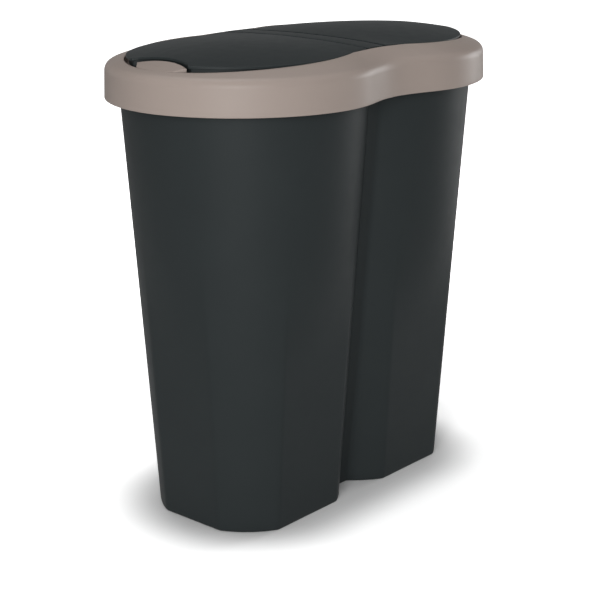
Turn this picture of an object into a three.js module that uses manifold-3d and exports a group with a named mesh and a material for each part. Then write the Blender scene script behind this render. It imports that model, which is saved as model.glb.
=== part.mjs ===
// Double recycling bin: a figure-of-eight tub with two round chambers and a divider between them, a lift-off
// frame over its rim, and two flap lids hinged on a bridge across the middle. A push button at each outer end
// tips a latch lever that lets its lid go. Millimetres. +X runs along the bin, +Y to the back, +Z up.
// The origin is the centre of the base.

import * as THREE from "three";
import { mergeVertices } from "three/addons/utils/BufferGeometryUtils.js";
import Module from "manifold-3d";

const wasm = await Module();
wasm.setup();

// ---------- driving dimensions ----------

const CLEARANCE = 0.3; // between pieces that rest on or beside each other
const OVERSHOOT = 1; // how far a cut runs past what it cuts, and a joined piece into what carries it
const ROUND_MIDDLE = 0.3; // where the middle of a rounded edge lies, as a share of its radius
const LOBE_X = 90; // centre of a chamber, each side of the middle

// Tub
const TUB_HEIGHT = 480;
const TUB_WALL = 2.5;
const TUB_FLOOR = 4.5;
const BASE_RADIUS = 99.5; // of a chamber, outside, at the floor
const RIM_RADIUS = 130.8; // of a chamber, outside, at the rim
const WEB_HALF_WIDTH = 10; // flat strip that joins the two chambers, outside
const END_FLAT_DEPTH = 8.2; // how far the flats lie inside the cone
const SIDE_FLAT_DEPTH = 12.5;
const FLAT_FADE_LOW = 150; // the flats are full below this height
const FLAT_FADE_HIGH = 330; // and gone above this one
const BASE_ROUNDING = 3;
const RIM_LIP_WIDTH = 9.2; // turned-down lip round the rim
const RIM_LIP_DROP = 14;
const RIM_LIP_WALL = 2;
const FOOT_WIDTH = 12; // band that the tub stands on
const FOOT_HEIGHT = 2;

// Divider and the ribs that guide it
const DIVIDER_THICKNESS = 3;
const DIVIDER_BELOW_RIM = 4;
const DIVIDER_BEAD = 6;
const DIVIDER_RIB_LEVELS = [160, 320];
const GUIDE_RIB_WIDTH = 2.5;
const GUIDE_RIB_DEPTH = 6;
const GUIDE_RIB_BELOW_RIM = 18;

// Lid frame: outlines are two superellipse lobes blended at the waist
const ROUNDNESS = 1.92;
const FRAME_OVERHANG_X = 7.4; // of the skirt, past the tub's lip, along X
const FRAME_OVERHANG_Y = 5.7; // and along Y
const FRAME_WAIST_BLEND = 99;
const FRAME_HANG = 28; // of the skirt, below the tub's rim
const FRAME_WALL = 2.5;
const BAND_WALL_UPRIGHT = 1.16; // the sloping band's wall measured upright, as a share of FRAME_WALL
const BAND_THICKENING = 0.6; // outside the seat rib
const SKIRT_DRAFT = 1; // the skirt leans in by this much
const SHOULDER_BELOW_RIM = 1; // where the shoulder's curve starts
const SHOULDER_ABOVE_RIM = 7; // where the lines of skirt and band would meet
const SHOULDER_WIDTH = 9;
const BAND_WIDTH_END = 15.4; // from the frame's outside to its opening, at the ends
const BAND_WIDTH_SIDE = 30.7; // and at the sides
const OPENING_WAIST_BLEND = 137;
const OPENING_RISE = 6.4; // of the opening's edge over the ledge, at the ends
const OPENING_DROP = 9.5; // how much lower that edge lies at the ends than at the waist
const OPENING_DROP_POWER = 1.38;
const LEDGE_WIDTH = 8;
const LEDGE_THICKNESS = 2.5;
const LEDGE_GAP = 2.8; // under the ledge, to the tub's rim
const SEAT_RIB_INSET = 8; // rib that sits on the tub's rim
const SEAT_RIB_WIDTH = 2;

// Lids
const LID_GAP = 1.6; // to the opening
const LID_WALL = 2.4;
const LID_INNER_X = 16.5;
const LID_PROUD = 0.7; // of the lid's edge over the opening's, at the waist
const LID_SAG = 4.7; // how much lower the lid's edge lies where it is lowest
const LID_EDGE_LOW_X = 160;
const CROWN_AT_WAIST = 1.4; // rise of the dome over the edge
const CROWN_AT_LOBE = 8.4;
const CROWN_AT_TIP = 0.8;
const LID_TIP_TRIM = 4;
const LID_RIB_START_X = 34;
const LID_RIB_INSET = 3;
const LID_RIB_WIDTH = 2;
const LID_RIB_GAP = 4.2; // under the rib, to the ledge

// Hinge
const HINGE_X = 24;
const HINGE_DEPTH = 5.4; // of the axis, below the lid's edge at the waist
const HINGE_PIN_RADIUS = 1.5;
const HINGE_BORE_RADIUS = 1.6;
const KNUCKLE_RADIUS = 3.2;
const KNUCKLE_TO_SHELF = 23; // from the middle of each lid knuckle to the frame's shelf
const KNUCKLE_WIDTH = 8;
const POST_WIDTH = 5;
const POST_GAP = 0.5;
const CLIP_THICKNESS = 1.2;
const CLIP_RADIUS = 3.4;

// Bridge between the lids
const BRIDGE_SWEEP_GAP = 0.5; // to the lid's inner corner as it swings
const BRIDGE_WALL = 2.2;
const BRIDGE_EDGE_ROUNDING = 1.8;
const BRIDGE_PLATE_HALF_WIDTH = 30;
const BRIDGE_END_GAP = 6.693; // from the plate's end to the opening's edge
const BRIDGE_PLATE_THICKNESS = 2.3;
const BRIDGE_SHELF_LAP = 13; // of the frame's shelf over the plate's end
const BRIDGE_SHELF_MARGIN = 4; // of that shelf, each side of the plate

// Screws under the bridge
const SCREW_X = 20;
const SCREW_TO_PLATE_END = 6.5;
const SCREW_RADIUS = 1.4;
const SCREW_LENGTH = 6;
const SCREW_TIP_HEIGHT = 1;
const SCREW_HEAD_RADIUS = 3.1;
const SCREW_HEAD_HEIGHT = 2.2;
const SCREW_HEAD_FLAT = 0.7; // width of the head's flat, as a share of the head
const SCREW_HOLE_GAP = 0.2; // round the shank in the boss
const SCREW_BOSS_RADIUS = 3.8;
const SCREW_BOSS_HEIGHT = 2.7;
const SCREW_BOSS_CAP = 0.8; // closes the boss over the screw's tip

// Push button
const BUTTON_DEPTH = 22; // from the opening's end to the crest of the arc towards the lid
const BUTTON_ARC_RADIUS = 84.7;
const BUTTON_HALF_WIDTH = 34.8;
const BUTTON_CORNER_SLOPE = 1.08; // how far the sides run out for each millimetre they close in
const BUTTON_RISE = 6.2; // of the face at that crest over the opening's edge at the end
const BUTTON_SLOPE = 0.31; // how fast the face falls outwards
const BUTTON_CROWN = 1; // how much lower the face lies at its corners
const NOTCH_SPLAY = 0.65; // how far the notch's sides open for each millimetre outwards
const BUTTON_EDGE_GAP = 0.5; // to the frame
const BUTTON_NOTCH_GAP = 1.2; // to the lid
const BUTTON_WALL = 2;
const BUTTON_TRAVEL = 3.5;
const BUTTON_SKIRT_SLOPE = 0.12;
const STEM_INSET = 9; // from the arc's crest to the stem
const STEM_RADIUS = 3.9;
const STEM_BORE_RADIUS = 4.2;
const STEM_NECK_RADIUS = 2.6;
const STEM_FOOT_RADIUS = 3.4;
const STEM_FOOT_HEIGHT = 1.3;
const STEM_TIP_RADIUS = 1.5;
const STEM_TIP_HEIGHT = 1.3;
const STEM_OVERLAP = 0.1; // of the stem's stretches into each other
const STEM_PLAY = 0.1; // between the stem's foot and its clip
const GUIDE_RADIUS = 6.2;
const GUIDE_LENGTH = 12.6; // below the ledge's top
const BUTTON_CLIP_INSET = 0.2; // of the clip, inside the guide's outline
const BUTTON_SHELF_START = 8; // of the shelf, inwards of the latch
const BUTTON_SHELF_HALF_WIDTH = 41;

// Latch lever
const LATCH_TO_STEM = 17; // from the lever's axis to the stem
const LATCH_DEPTH = 15.3; // of that axis, below the ledge's top
const LATCH_HUB_RADIUS = 2.6;
const LATCH_PIN_RADIUS = 1;
const LATCH_BORE_RADIUS = 1.1;
const LATCH_HALF_WIDTH = 5;
const LATCH_ARM = 3;
const LATCH_HEIGHT = 17; // of the arm, over the axis
const LATCH_NOSE = 0.9;
const LATCH_NOSE_HEIGHT = 1.4;
const LATCH_FOOT_THICKNESS = 2.5;
const LATCH_FOOT_REACH = 2.5; // of the foot, past the stem's axis
const LATCH_FREE_PLAY = 0.8; // between the stem's tip and the lever
const LATCH_SLOT_REACH = 7.2; // of the slot in the shelf, outwards of the axis
const LATCH_PIN_REACH = 0.5; // of the pin, past each cheek
const CHEEK_THICKNESS = 2.5;
const CHEEK_HALF_LENGTH = 3.5;
const CATCH_TO_LATCH = 6.5; // from the lid's hook to the lever's axis
const CATCH_THICKNESS = 2;
const CATCH_BARB = 1.4;
const CATCH_DEPTH = 1.8; // of the hook's end, below the ledge's top
const CATCH_BARB_HEIGHT = 1.7;
const CATCH_BARB_SLANT = 0.6; // share of the barb's height that slants
const CATCH_HALF_WIDTH = 4.6;

// Springs and buffers
const LID_SPRING_RADIUS = 2.9; // to the middle of the wire
const LID_SPRING_WIRE = 0.9;
const LID_SPRING_TURNS = 7;
const LID_SPRING_LAST_TURN = 0.25; // brings the wire's end round to the lid
const LID_SPRING_HALF_LENGTH = 5;
const LID_SPRING_LEG = 14;
const BUTTON_SPRING_RADIUS = 5.2;
const BUTTON_SPRING_WIRE = 0.9;
const BUTTON_SPRING_TURNS = 4;
const BUTTON_SPRING_HEIGHT = 5.1; // to the middle of the last turn, over the shelf
const SPRING_STEPS = 8; // in a turn
const SPRING_SIDES = 5; // of the wire
const BUFFER_LENGTH = 12;
const BUFFER_WIDTH = 4.4;
const BUFFER_CORNER = 1.2;
const BUFFER_SEAT = 0.05; // between a buffer and the rib that carries it

// ---------- heights and places that follow ----------

const RIM_LIP_RADIUS = RIM_RADIUS + RIM_LIP_WIDTH;
const DIVIDER_TOP = TUB_HEIGHT - DIVIDER_BELOW_RIM;
const GUIDE_RIB_TOP = TUB_HEIGHT - GUIDE_RIB_BELOW_RIM;

const FRAME_LENGTH_RADIUS = RIM_LIP_RADIUS + FRAME_OVERHANG_X; // of a lobe, along X
const FRAME_WIDTH_RADIUS = RIM_LIP_RADIUS + FRAME_OVERHANG_Y; // of a lobe, along Y
const OPENING_LENGTH_RADIUS = FRAME_LENGTH_RADIUS - BAND_WIDTH_END;
const OPENING_WIDTH_RADIUS = FRAME_WIDTH_RADIUS - BAND_WIDTH_SIDE;
const FRAME_BOTTOM = TUB_HEIGHT - FRAME_HANG;
const SHOULDER_LOW = TUB_HEIGHT - SHOULDER_BELOW_RIM;
const SHOULDER_HIGH = TUB_HEIGHT + SHOULDER_ABOVE_RIM;
const LEDGE_BOTTOM = TUB_HEIGHT + LEDGE_GAP;
const LEDGE_TOP = LEDGE_BOTTOM + LEDGE_THICKNESS;
const OPENING_END_HEIGHT = LEDGE_TOP + OPENING_RISE;
const OPENING_HEIGHT = OPENING_END_HEIGHT + OPENING_DROP; // at the waist

const LID_EDGE_HEIGHT = OPENING_HEIGHT + LID_PROUD; // at the waist
const LID_EDGE_LOW = LID_EDGE_HEIGHT - LID_SAG;
const LID_RIB_BOTTOM = LEDGE_TOP + LID_RIB_GAP;
const HINGE_Z = LID_EDGE_HEIGHT - HINGE_DEPTH;

const BUTTON_INNER_X = LOBE_X + OPENING_LENGTH_RADIUS - BUTTON_DEPTH;
const BUTTON_HEIGHT = OPENING_END_HEIGHT + BUTTON_RISE;
const STEM_X = BUTTON_INNER_X + STEM_INSET;
const GUIDE_BOTTOM = LEDGE_TOP - GUIDE_LENGTH;
const LATCH_X = STEM_X - LATCH_TO_STEM;
const LATCH_Z = LEDGE_TOP - LATCH_DEPTH;
const BUTTON_SHELF_INNER_X = LATCH_X - BUTTON_SHELF_START;
const CATCH_INNER_X = LATCH_X - CATCH_TO_LATCH;
const CATCH_BOTTOM = LEDGE_TOP - CATCH_DEPTH;

// ---------- finishes ----------

const finishes = {
  graphite: new THREE.MeshStandardMaterial({ color: "#33393a", roughness: 0.48, metalness: 0 }),
  taupe: new THREE.MeshStandardMaterial({ color: "#a39a92", roughness: 0.5, metalness: 0 }),
  steel: new THREE.MeshStandardMaterial({ color: "#b9bcbf", roughness: 0.3, metalness: 1 }),
  rubber: new THREE.MeshStandardMaterial({ color: "#1d1e1f", roughness: 0.85, metalness: 0 }),
};

// ---------- solids ----------

const radians = THREE.MathUtils.degToRad;

// A closed geometry as a solid that can be joined and cut.
function solid(geometry) {
  const bare = geometry.clone();
  bare.deleteAttribute("normal");
  bare.deleteAttribute("uv");
  const merged = mergeVertices(bare, 1e-4);
  const vertProperties = new Float32Array(merged.attributes.position.array);
  const triVerts = new Uint32Array(merged.index.array);
  return new wasm.Manifold(new wasm.Mesh({ numProp: 3, vertProperties, triVerts }));
}

// A solid as a geometry again.
function geometryOf(made) {
  const { vertProperties, triVerts } = made.getMesh();
  const geometry = new THREE.BufferGeometry();
  geometry.setAttribute("position", new THREE.BufferAttribute(vertProperties, 3));
  geometry.setIndex(new THREE.BufferAttribute(triVerts, 1));
  geometry.computeVertexNormals();
  return geometry;
}

const join = (...solids) => solids.reduce((whole, piece) => whole.add(piece));
const cut = (base, ...tools) => tools.reduce((rest, tool) => rest.subtract(tool), base);

function piece(name, shape, finish) {
  const geometry = shape.isBufferGeometry ? shape : geometryOf(shape);
  const mesh = new THREE.Mesh(geometry, finish);
  mesh.name = name;
  return mesh;
}

// Stacked rings of points, each counterclockwise seen from above. A stack is capped at both ends,
// or its last ring joins its first.
function loft(rings, closed = false) {
  const count = rings[0].length;
  const positions = rings.flat().flatMap((point) => [point.x, point.y, point.z]);
  const index = [];
  const bands = closed ? rings.length : rings.length - 1;
  for (let k = 0; k < bands; k++) {
    const low = k * count;
    const high = ((k + 1) % rings.length) * count;
    for (let i = 0; i < count; i++) {
      const j = (i + 1) % count;
      index.push(low + i, low + j, high + j);
      index.push(low + i, high + j, high + i);
    }
  }
  if (!closed) {
    const last = (rings.length - 1) * count;
    for (const [a, b, c] of THREE.ShapeUtils.triangulateShape(rings[0], [])) index.push(a, c, b);
    for (const [a, b, c] of THREE.ShapeUtils.triangulateShape(rings.at(-1), [])) {
      index.push(last + a, last + b, last + c);
    }
  }
  const geometry = new THREE.BufferGeometry();
  geometry.setAttribute("position", new THREE.Float32BufferAttribute(positions, 3));
  geometry.setIndex(index);
  return solid(geometry);
}

const ringAt = (outline, z) => outline.map(([x, y]) => new THREE.Vector3(x, y, z));

function extrude(points, depth) {
  const shape = new THREE.Shape(points.map(([x, y]) => new THREE.Vector2(x, y)));
  return new THREE.ExtrudeGeometry(shape, { depth, bevelEnabled: false });
}

// Outlines drawn in XY, XZ or YZ and extruded along the third axis.
function plateXY(points, z0, z1) {
  return solid(extrude(points, z1 - z0).translate(0, 0, z0));
}
function plateXZ(points, y0, y1) {
  return solid(extrude(points, y1 - y0).rotateX(Math.PI / 2).translate(0, y1, 0));
}
function plateYZ(points, x0, x1) {
  const axes = new THREE.Matrix4().makeBasis(
    new THREE.Vector3(0, 1, 0),
    new THREE.Vector3(0, 0, 1),
    new THREE.Vector3(1, 0, 0),
  );
  return solid(extrude(points, x1 - x0).applyMatrix4(axes).translate(x0, 0, 0));
}

function box([x0, x1], [y0, y1], [z0, z1]) {
  const geometry = new THREE.BoxGeometry(x1 - x0, y1 - y0, z1 - z0);
  return solid(geometry.translate((x0 + x1) / 2, (y0 + y1) / 2, (z0 + z1) / 2));
}

// Round rods along Y and along Z.
function rodY(radius, [y0, y1], x, z, sides = 24) {
  const geometry = new THREE.CylinderGeometry(radius, radius, y1 - y0, sides);
  return solid(geometry.translate(x, (y0 + y1) / 2, z));
}
function rodZ(radius, [z0, z1], x, y, sides = 24) {
  const geometry = new THREE.CylinderGeometry(radius, radius, z1 - z0, sides).rotateX(Math.PI / 2);
  return solid(geometry.translate(x, y, (z0 + z1) / 2));
}

// Wire bent through a list of points.
function wire(points, diameter, steps, sides = 6) {
  const section = Array.from({ length: sides }, (_, i) => {
    const angle = (i / sides) * 2 * Math.PI;
    return new THREE.Vector2(Math.cos(angle), Math.sin(angle)).multiplyScalar(diameter / 2);
  });
  const extrudePath = new THREE.CatmullRomCurve3(points, false, "centripetal");
  return solid(new THREE.ExtrudeGeometry(new THREE.Shape(section), { steps, extrudePath }));
}

// ---------- shared outlines ----------

// Both halves of a figure of eight from its points with x > 0 and y > 0, listed from the end of the long
// axis to the waist.
function wholeOutline(quarter) {
  const flip = (sx, sy) => quarter.map(([x, y]) => [sx * x, sy * y]);
  const onAxis = quarter.at(-1)[0] === 0;
  const inner = onAxis ? quarter.slice(0, -1) : quarter;
  const rest = inner.slice(1);
  const waist = quarter.at(-1)[1];
  return [
    ...inner,
    [0, waist],
    ...flip(-1, 1).slice(0, inner.length).reverse(),
    ...rest.map(([x, y]) => [-x, -y]),
    [0, -waist],
    ...rest.map(([x, y]) => [x, -y]).reverse(),
  ];
}

// Half width at x of two superellipse lobes that flow together at the waist.
function lobeHalfWidth(x, lengthRadius, widthRadius, blend) {
  const reach = (centre) => {
    const share = Math.min(Math.abs(x - centre) / lengthRadius, 1);
    return widthRadius * (1 - share ** ROUNDNESS) ** (1 / ROUNDNESS);
  };
  const [near, far] = [reach(LOBE_X), reach(-LOBE_X)];
  const overlap = far > 0 ? Math.max(0, 1 - Math.abs(near - far) / blend) : 0;
  return Math.max(near, far) + (blend * overlap ** 3) / 6;
}

const END_STEPS = 12;
const WAIST_STEPS = 7;

function lobeOutline(lengthRadius, widthRadius, blend) {
  const end = Array.from({ length: END_STEPS + 1 }, (_, i) => {
    const angle = ((i / END_STEPS) * Math.PI) / 2;
    const x = LOBE_X + lengthRadius * Math.cos(angle) ** (2 / ROUNDNESS);
    return i === 0 ? [x, 0] : [x, widthRadius * Math.sin(angle) ** (2 / ROUNDNESS)];
  });
  const waist = Array.from({ length: WAIST_STEPS }, (_, i) => {
    const x = LOBE_X * (1 - (i + 1) / WAIST_STEPS);
    return [x, lobeHalfWidth(x, lengthRadius, widthRadius, blend)];
  });
  return wholeOutline([...end, ...waist]);
}

const frameOutline = lobeOutline(FRAME_LENGTH_RADIUS, FRAME_WIDTH_RADIUS, FRAME_WAIST_BLEND);

const openingOutline = (grow) =>
  lobeOutline(OPENING_LENGTH_RADIUS + grow, OPENING_WIDTH_RADIUS + grow, OPENING_WAIST_BLEND);

const openingEndX = LOBE_X + OPENING_LENGTH_RADIUS;
const openingWaistY = lobeHalfWidth(0, OPENING_LENGTH_RADIUS, OPENING_WIDTH_RADIUS, OPENING_WAIST_BLEND);

function openingHeight(x) {
  return OPENING_HEIGHT - OPENING_DROP * (Math.abs(x) / openingEndX) ** OPENING_DROP_POWER;
}

// ---------- tub ----------

function coneRadius(z) {
  return BASE_RADIUS + ((RIM_RADIUS - BASE_RADIUS) * z) / TUB_HEIGHT;
}

// 1 where the flats are full, 0 where they are gone.
function flatFade(z) {
  return 1 - THREE.MathUtils.smoothstep(z, FLAT_FADE_LOW, FLAT_FADE_HIGH);
}

// Half width of the web's face, and where it meets a chamber of this radius, grown out of the cone at z.
function webCorner(z, grow) {
  const run = LOBE_X - WEB_HALF_WIDTH;
  const y = Math.sqrt(coneRadius(z) ** 2 - run ** 2) + grow;
  return [LOBE_X - Math.sqrt((coneRadius(z) + grow) ** 2 - y ** 2), y];
}

// The tub's outline at height z, grown outwards by `grow`.
function tubOutline(z, grow) {
  const cone = coneRadius(z);
  const endEdge = Math.acos(1 - END_FLAT_DEPTH / cone);
  const sideEdge = Math.acos(1 - SIDE_FLAT_DEPTH / cone);
  const [webX, webY] = webCorner(z, grow);
  const webAngle = Math.atan2(webY, webX - LOBE_X);
  const side = Math.PI / 2;
  const spans = [
    [0, endEdge, 3],
    [endEdge, side - sideEdge, 3],
    [side - sideEdge, side + sideEdge, 6],
    [side + sideEdge, webAngle, 3],
  ];
  const radiusAt = (angle) => {
    const toEnd = (cone - END_FLAT_DEPTH) / Math.cos(angle);
    const toSide = (cone - SIDE_FLAT_DEPTH) / Math.cos(angle - side);
    const flats = [toEnd, toSide].filter((reach) => reach > 0);
    const cutBack = Math.max(0, cone - Math.min(...flats));
    return cone - flatFade(z) * cutBack + grow;
  };
  const angles = spans.flatMap(([from, to, steps]) =>
    Array.from({ length: steps }, (_, i) => from + ((to - from) * i) / steps),
  );
  const quarter = angles.map((angle) => {
    const reach = radiusAt(angle);
    return [LOBE_X + reach * Math.cos(angle), angle === 0 ? 0 : reach * Math.sin(angle)];
  });
  return wholeOutline([...quarter, [webX, webY]]);
}

const tubRing = (z, grow, coneZ = z) => ringAt(tubOutline(coneZ, grow), z);

const FADE_STEPS = 6;
const fadeLevels = Array.from(
  { length: FADE_STEPS + 1 },
  (_, i) => FLAT_FADE_LOW + ((FLAT_FADE_HIGH - FLAT_FADE_LOW) * i) / FADE_STEPS,
);

// One rib on the inner face of a web, beside the divider.
function guideRib(side, face) {
  const levels = [TUB_FLOOR - OVERSHOOT, ...fadeLevels, GUIDE_RIB_TOP];
  const faceY = (z) => webCorner(z, -TUB_WALL)[1];
  const inner = levels.map((z) => [face * (faceY(z) - GUIDE_RIB_DEPTH), z]);
  const outer = levels.map((z) => [face * (faceY(z) + TUB_WALL / 2), z]).reverse();
  const x0 = DIVIDER_THICKNESS / 2 + CLEARANCE;
  const span = [side * x0, side * (x0 + GUIDE_RIB_WIDTH)].sort((a, b) => a - b);
  const outline = face > 0 ? [...outer.reverse(), ...inner.reverse()] : [...inner, ...outer];
  return plateYZ(outline, ...span);
}

function buildTub() {
  const lipInner = RIM_LIP_WIDTH - RIM_LIP_WALL;
  const lipUnderside = TUB_HEIGHT - TUB_WALL;
  const rounding = BASE_ROUNDING;
  const shell = loft([
    tubRing(0, -rounding, 0),
    tubRing(rounding * ROUND_MIDDLE, -rounding * ROUND_MIDDLE),
    tubRing(rounding, 0),
    ...fadeLevels.map((z) => tubRing(z, 0)),
    tubRing(lipUnderside, 0),
    tubRing(lipUnderside, lipInner, TUB_HEIGHT),
    tubRing(TUB_HEIGHT - RIM_LIP_DROP, lipInner, TUB_HEIGHT),
    tubRing(TUB_HEIGHT - RIM_LIP_DROP, RIM_LIP_WIDTH, TUB_HEIGHT),
    tubRing(TUB_HEIGHT - RIM_LIP_WALL, RIM_LIP_WIDTH, TUB_HEIGHT),
    tubRing(TUB_HEIGHT, lipInner, TUB_HEIGHT),
    tubRing(TUB_HEIGHT, -TUB_WALL),
    ...fadeLevels.map((z) => tubRing(z, -TUB_WALL)).reverse(),
    tubRing(TUB_FLOOR + rounding, -TUB_WALL),
    tubRing(TUB_FLOOR, -TUB_WALL - rounding),
  ]);
  const recess = plateXY(tubOutline(0, -FOOT_WIDTH), -OVERSHOOT, FOOT_HEIGHT);
  const crossFoot = box(
    [-FOOT_WIDTH / 2, FOOT_WIDTH / 2],
    [-BASE_RADIUS, BASE_RADIUS],
    [-2 * OVERSHOOT, FOOT_HEIGHT + OVERSHOOT],
  );
  const ribs = [-1, 1].flatMap((side) => [-1, 1].map((face) => guideRib(side, face)));
  return join(cut(shell, cut(recess, crossFoot)), ...ribs);
}

// ---------- divider ----------

function buildDivider() {
  const levels = [TUB_FLOOR + CLEARANCE, ...fadeLevels, DIVIDER_TOP];
  const reach = (z) => webCorner(z, -TUB_WALL)[1] - CLEARANCE;
  const foot = TUB_FLOOR + BASE_ROUNDING;
  const sideAt = (z) => [reach(z) - Math.max(0, foot - z), z];
  const right = [levels[0], foot, ...levels.slice(1)].map(sideAt);
  const left = right.map(([y, z]) => [-y, z]).reverse();
  const panel = plateYZ([...right, ...left], -DIVIDER_THICKNESS / 2, DIVIDER_THICKNESS / 2);
  const ribReach = (z) => reach(z) - GUIDE_RIB_DEPTH - DIVIDER_BEAD;
  const bar = (z) => {
    const half = ribReach(z);
    return box([-DIVIDER_BEAD / 2, DIVIDER_BEAD / 2], [-half, half], [z - DIVIDER_BEAD, z]);
  };
  return join(panel, ...[...DIVIDER_RIB_LEVELS, DIVIDER_TOP].map(bar));
}

// ---------- lid frame ----------

// The frame's section at each station round it: [inset from the outside, height] pairs.
function frameSection(bandWidth, edge) {
  const slope = (edge - SHOULDER_HIGH) / (bandWidth - SKIRT_DRAFT);
  const band = (inset) => SHOULDER_HIGH + slope * (inset - SKIRT_DRAFT);
  const under = (inset) => band(inset) - FRAME_WALL * BAND_WALL_UPRIGHT;
  const shoulder = [1 / 4, 2 / 4, 3 / 4, 1].map((t) => {
    const s = 1 - t;
    const inset = (s * s + 2 * s * t) * SKIRT_DRAFT + t * t * SHOULDER_WIDTH;
    const z = s * s * SHOULDER_LOW + 2 * s * t * SHOULDER_HIGH + t * t * band(SHOULDER_WIDTH);
    return [inset, z];
  });
  const ribOuter = SEAT_RIB_INSET;
  const ribInner = SEAT_RIB_INSET + SEAT_RIB_WIDTH;
  const seat = TUB_HEIGHT + CLEARANCE;
  return [
    [0, FRAME_BOTTOM],
    [SKIRT_DRAFT, SHOULDER_LOW],
    ...shoulder,
    [bandWidth, edge],
    [bandWidth, LEDGE_TOP],
    [bandWidth + LEDGE_WIDTH, LEDGE_TOP],
    [bandWidth + LEDGE_WIDTH, LEDGE_BOTTOM],
    [bandWidth - FRAME_WALL, LEDGE_BOTTOM],
    [bandWidth - FRAME_WALL, under(bandWidth - FRAME_WALL)],
    [ribInner, under(ribInner)],
    [ribInner, seat],
    [ribOuter, seat],
    [ribOuter, under(ribOuter) - BAND_THICKENING],
    [SKIRT_DRAFT + FRAME_WALL, SHOULDER_LOW + SKIRT_DRAFT],
    [FRAME_WALL, FRAME_BOTTOM],
  ];
}

function frameShell() {
  const opening = openingOutline(0);
  const stations = frameOutline.map(([x, y], i) => {
    const [edgeX, edgeY] = opening[i];
    const across = new THREE.Vector2(edgeX - x, edgeY - y);
    const bandWidth = across.length();
    const inwards = across.normalize();
    return frameSection(bandWidth, openingHeight(edgeX)).map(
      ([inset, z]) => new THREE.Vector3(x + inwards.x * inset, y + inwards.y * inset, z),
    );
  });
  const rings = stations[0].map((_, k) => stations.map((section) => section[k]));
  return loft(rings, true);
}

const bridgePlateEndY = openingWaistY - BRIDGE_END_GAP;
const bridgeShelfInnerY = bridgePlateEndY - BRIDGE_SHELF_LAP;
const screwY = bridgePlateEndY - SCREW_TO_PLATE_END;

// Flat shelves inside the opening: one under each button and one at each end of the bridge.
function frameShelves() {
  const far = openingEndX * 2;
  const inside = plateXY(openingOutline(FRAME_WALL / 2), LEDGE_BOTTOM, LEDGE_TOP);
  const tall = [LEDGE_BOTTOM - OVERSHOOT, LEDGE_TOP + OVERSHOOT];
  const buttonSpan = [-BUTTON_SHELF_HALF_WIDTH, BUTTON_SHELF_HALF_WIDTH];
  const bridgeHalf = BRIDGE_PLATE_HALF_WIDTH + BRIDGE_SHELF_MARGIN;
  const bridgeSpan = [-bridgeHalf, bridgeHalf];
  const zones = join(
    box([BUTTON_SHELF_INNER_X, far], buttonSpan, tall),
    box([-far, -BUTTON_SHELF_INNER_X], buttonSpan, tall),
    box(bridgeSpan, [bridgeShelfInnerY, far], tall),
    box(bridgeSpan, [-far, -bridgeShelfInnerY], tall),
  );
  return inside.intersect(zones);
}

const corners = [-1, 1].flatMap((sx) => [-1, 1].map((sy) => [sx, sy]));
const ends = [1, -1];

const sorted = (...values) => values.sort((a, b) => a - b);

function buildFrame() {
  const bossTop = LEDGE_TOP + SCREW_BOSS_HEIGHT;
  const middle = (LEDGE_TOP + LEDGE_BOTTOM) / 2;
  const throughShelf = [LEDGE_BOTTOM - OVERSHOOT, LEDGE_TOP + OVERSHOOT];
  const bosses = corners.map(([sx, sy]) =>
    rodZ(SCREW_BOSS_RADIUS, [middle, bossTop], sx * SCREW_X, sy * screwY),
  );
  const guides = ends.map((end) => rodZ(GUIDE_RADIUS, [GUIDE_BOTTOM, middle], end * STEM_X, 0));
  const cheekInner = LATCH_HALF_WIDTH + CLEARANCE * 2;
  const cheeks = corners.map(([sx, sy]) =>
    box(
      sorted(sx * (LATCH_X - CHEEK_HALF_LENGTH), sx * (LATCH_X + CHEEK_HALF_LENGTH)),
      sorted(sy * cheekInner, sy * (cheekInner + CHEEK_THICKNESS)),
      [LATCH_Z - CHEEK_HALF_LENGTH, middle],
    ),
  );
  const body = join(frameShell(), frameShelves(), ...bosses, ...guides, ...cheeks);
  const screwHole = [LEDGE_BOTTOM - OVERSHOOT, bossTop - SCREW_BOSS_CAP];
  const screwHoles = corners.map(([sx, sy]) =>
    rodZ(SCREW_RADIUS + SCREW_HOLE_GAP, screwHole, sx * SCREW_X, sy * screwY),
  );
  const stemBore = [GUIDE_BOTTOM - OVERSHOOT, LEDGE_TOP + OVERSHOOT];
  const stemBores = ends.map((end) => rodZ(STEM_BORE_RADIUS, stemBore, end * STEM_X, 0));
  const latchSlots = ends.map((end) =>
    box(
      sorted(end * (BUTTON_SHELF_INNER_X - OVERSHOOT), end * (LATCH_X + LATCH_SLOT_REACH)),
      [-cheekInner, cheekInner],
      throughShelf,
    ),
  );
  const pinHoles = ends.map((end) =>
    rodY(LATCH_BORE_RADIUS, [-cheekInner * 2, cheekInner * 2], end * LATCH_X, LATCH_Z, 16),
  );
  return cut(body, ...screwHoles, ...stemBores, ...latchSlots, ...pinHoles);
}

// ---------- lid surface ----------

const lidLengthRadius = OPENING_LENGTH_RADIUS - LID_GAP;
const lidWidthRadius = OPENING_WIDTH_RADIUS - LID_GAP;
const lidTipX = LOBE_X + lidLengthRadius;

const lidHalfWidth = (x) => lobeHalfWidth(x, lidLengthRadius, lidWidthRadius, OPENING_WAIST_BLEND);

// Height of the domed top: the edge sags between waist and tip, and the crown rises over the lobe.
function lidTop(x, y) {
  const along = x / lidTipX;
  const atWaist = CROWN_AT_WAIST * (1 - along) * (1 - 2 * along);
  const atLobe = CROWN_AT_LOBE * 4 * along * (1 - along);
  const atTip = CROWN_AT_TIP * along * (2 * along - 1);
  const across = Math.min(Math.abs(y) / lidHalfWidth(x), 1);
  const edge = LID_EDGE_LOW + (LID_EDGE_HEIGHT - LID_EDGE_LOW) * (x / LID_EDGE_LOW_X - 1) ** 2;
  return edge + (atWaist + atLobe + atTip) * (1 - across ** 2);
}

const LID_STEPS_ALONG = 14;
const LID_STEPS_ACROSS = 12;

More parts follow.
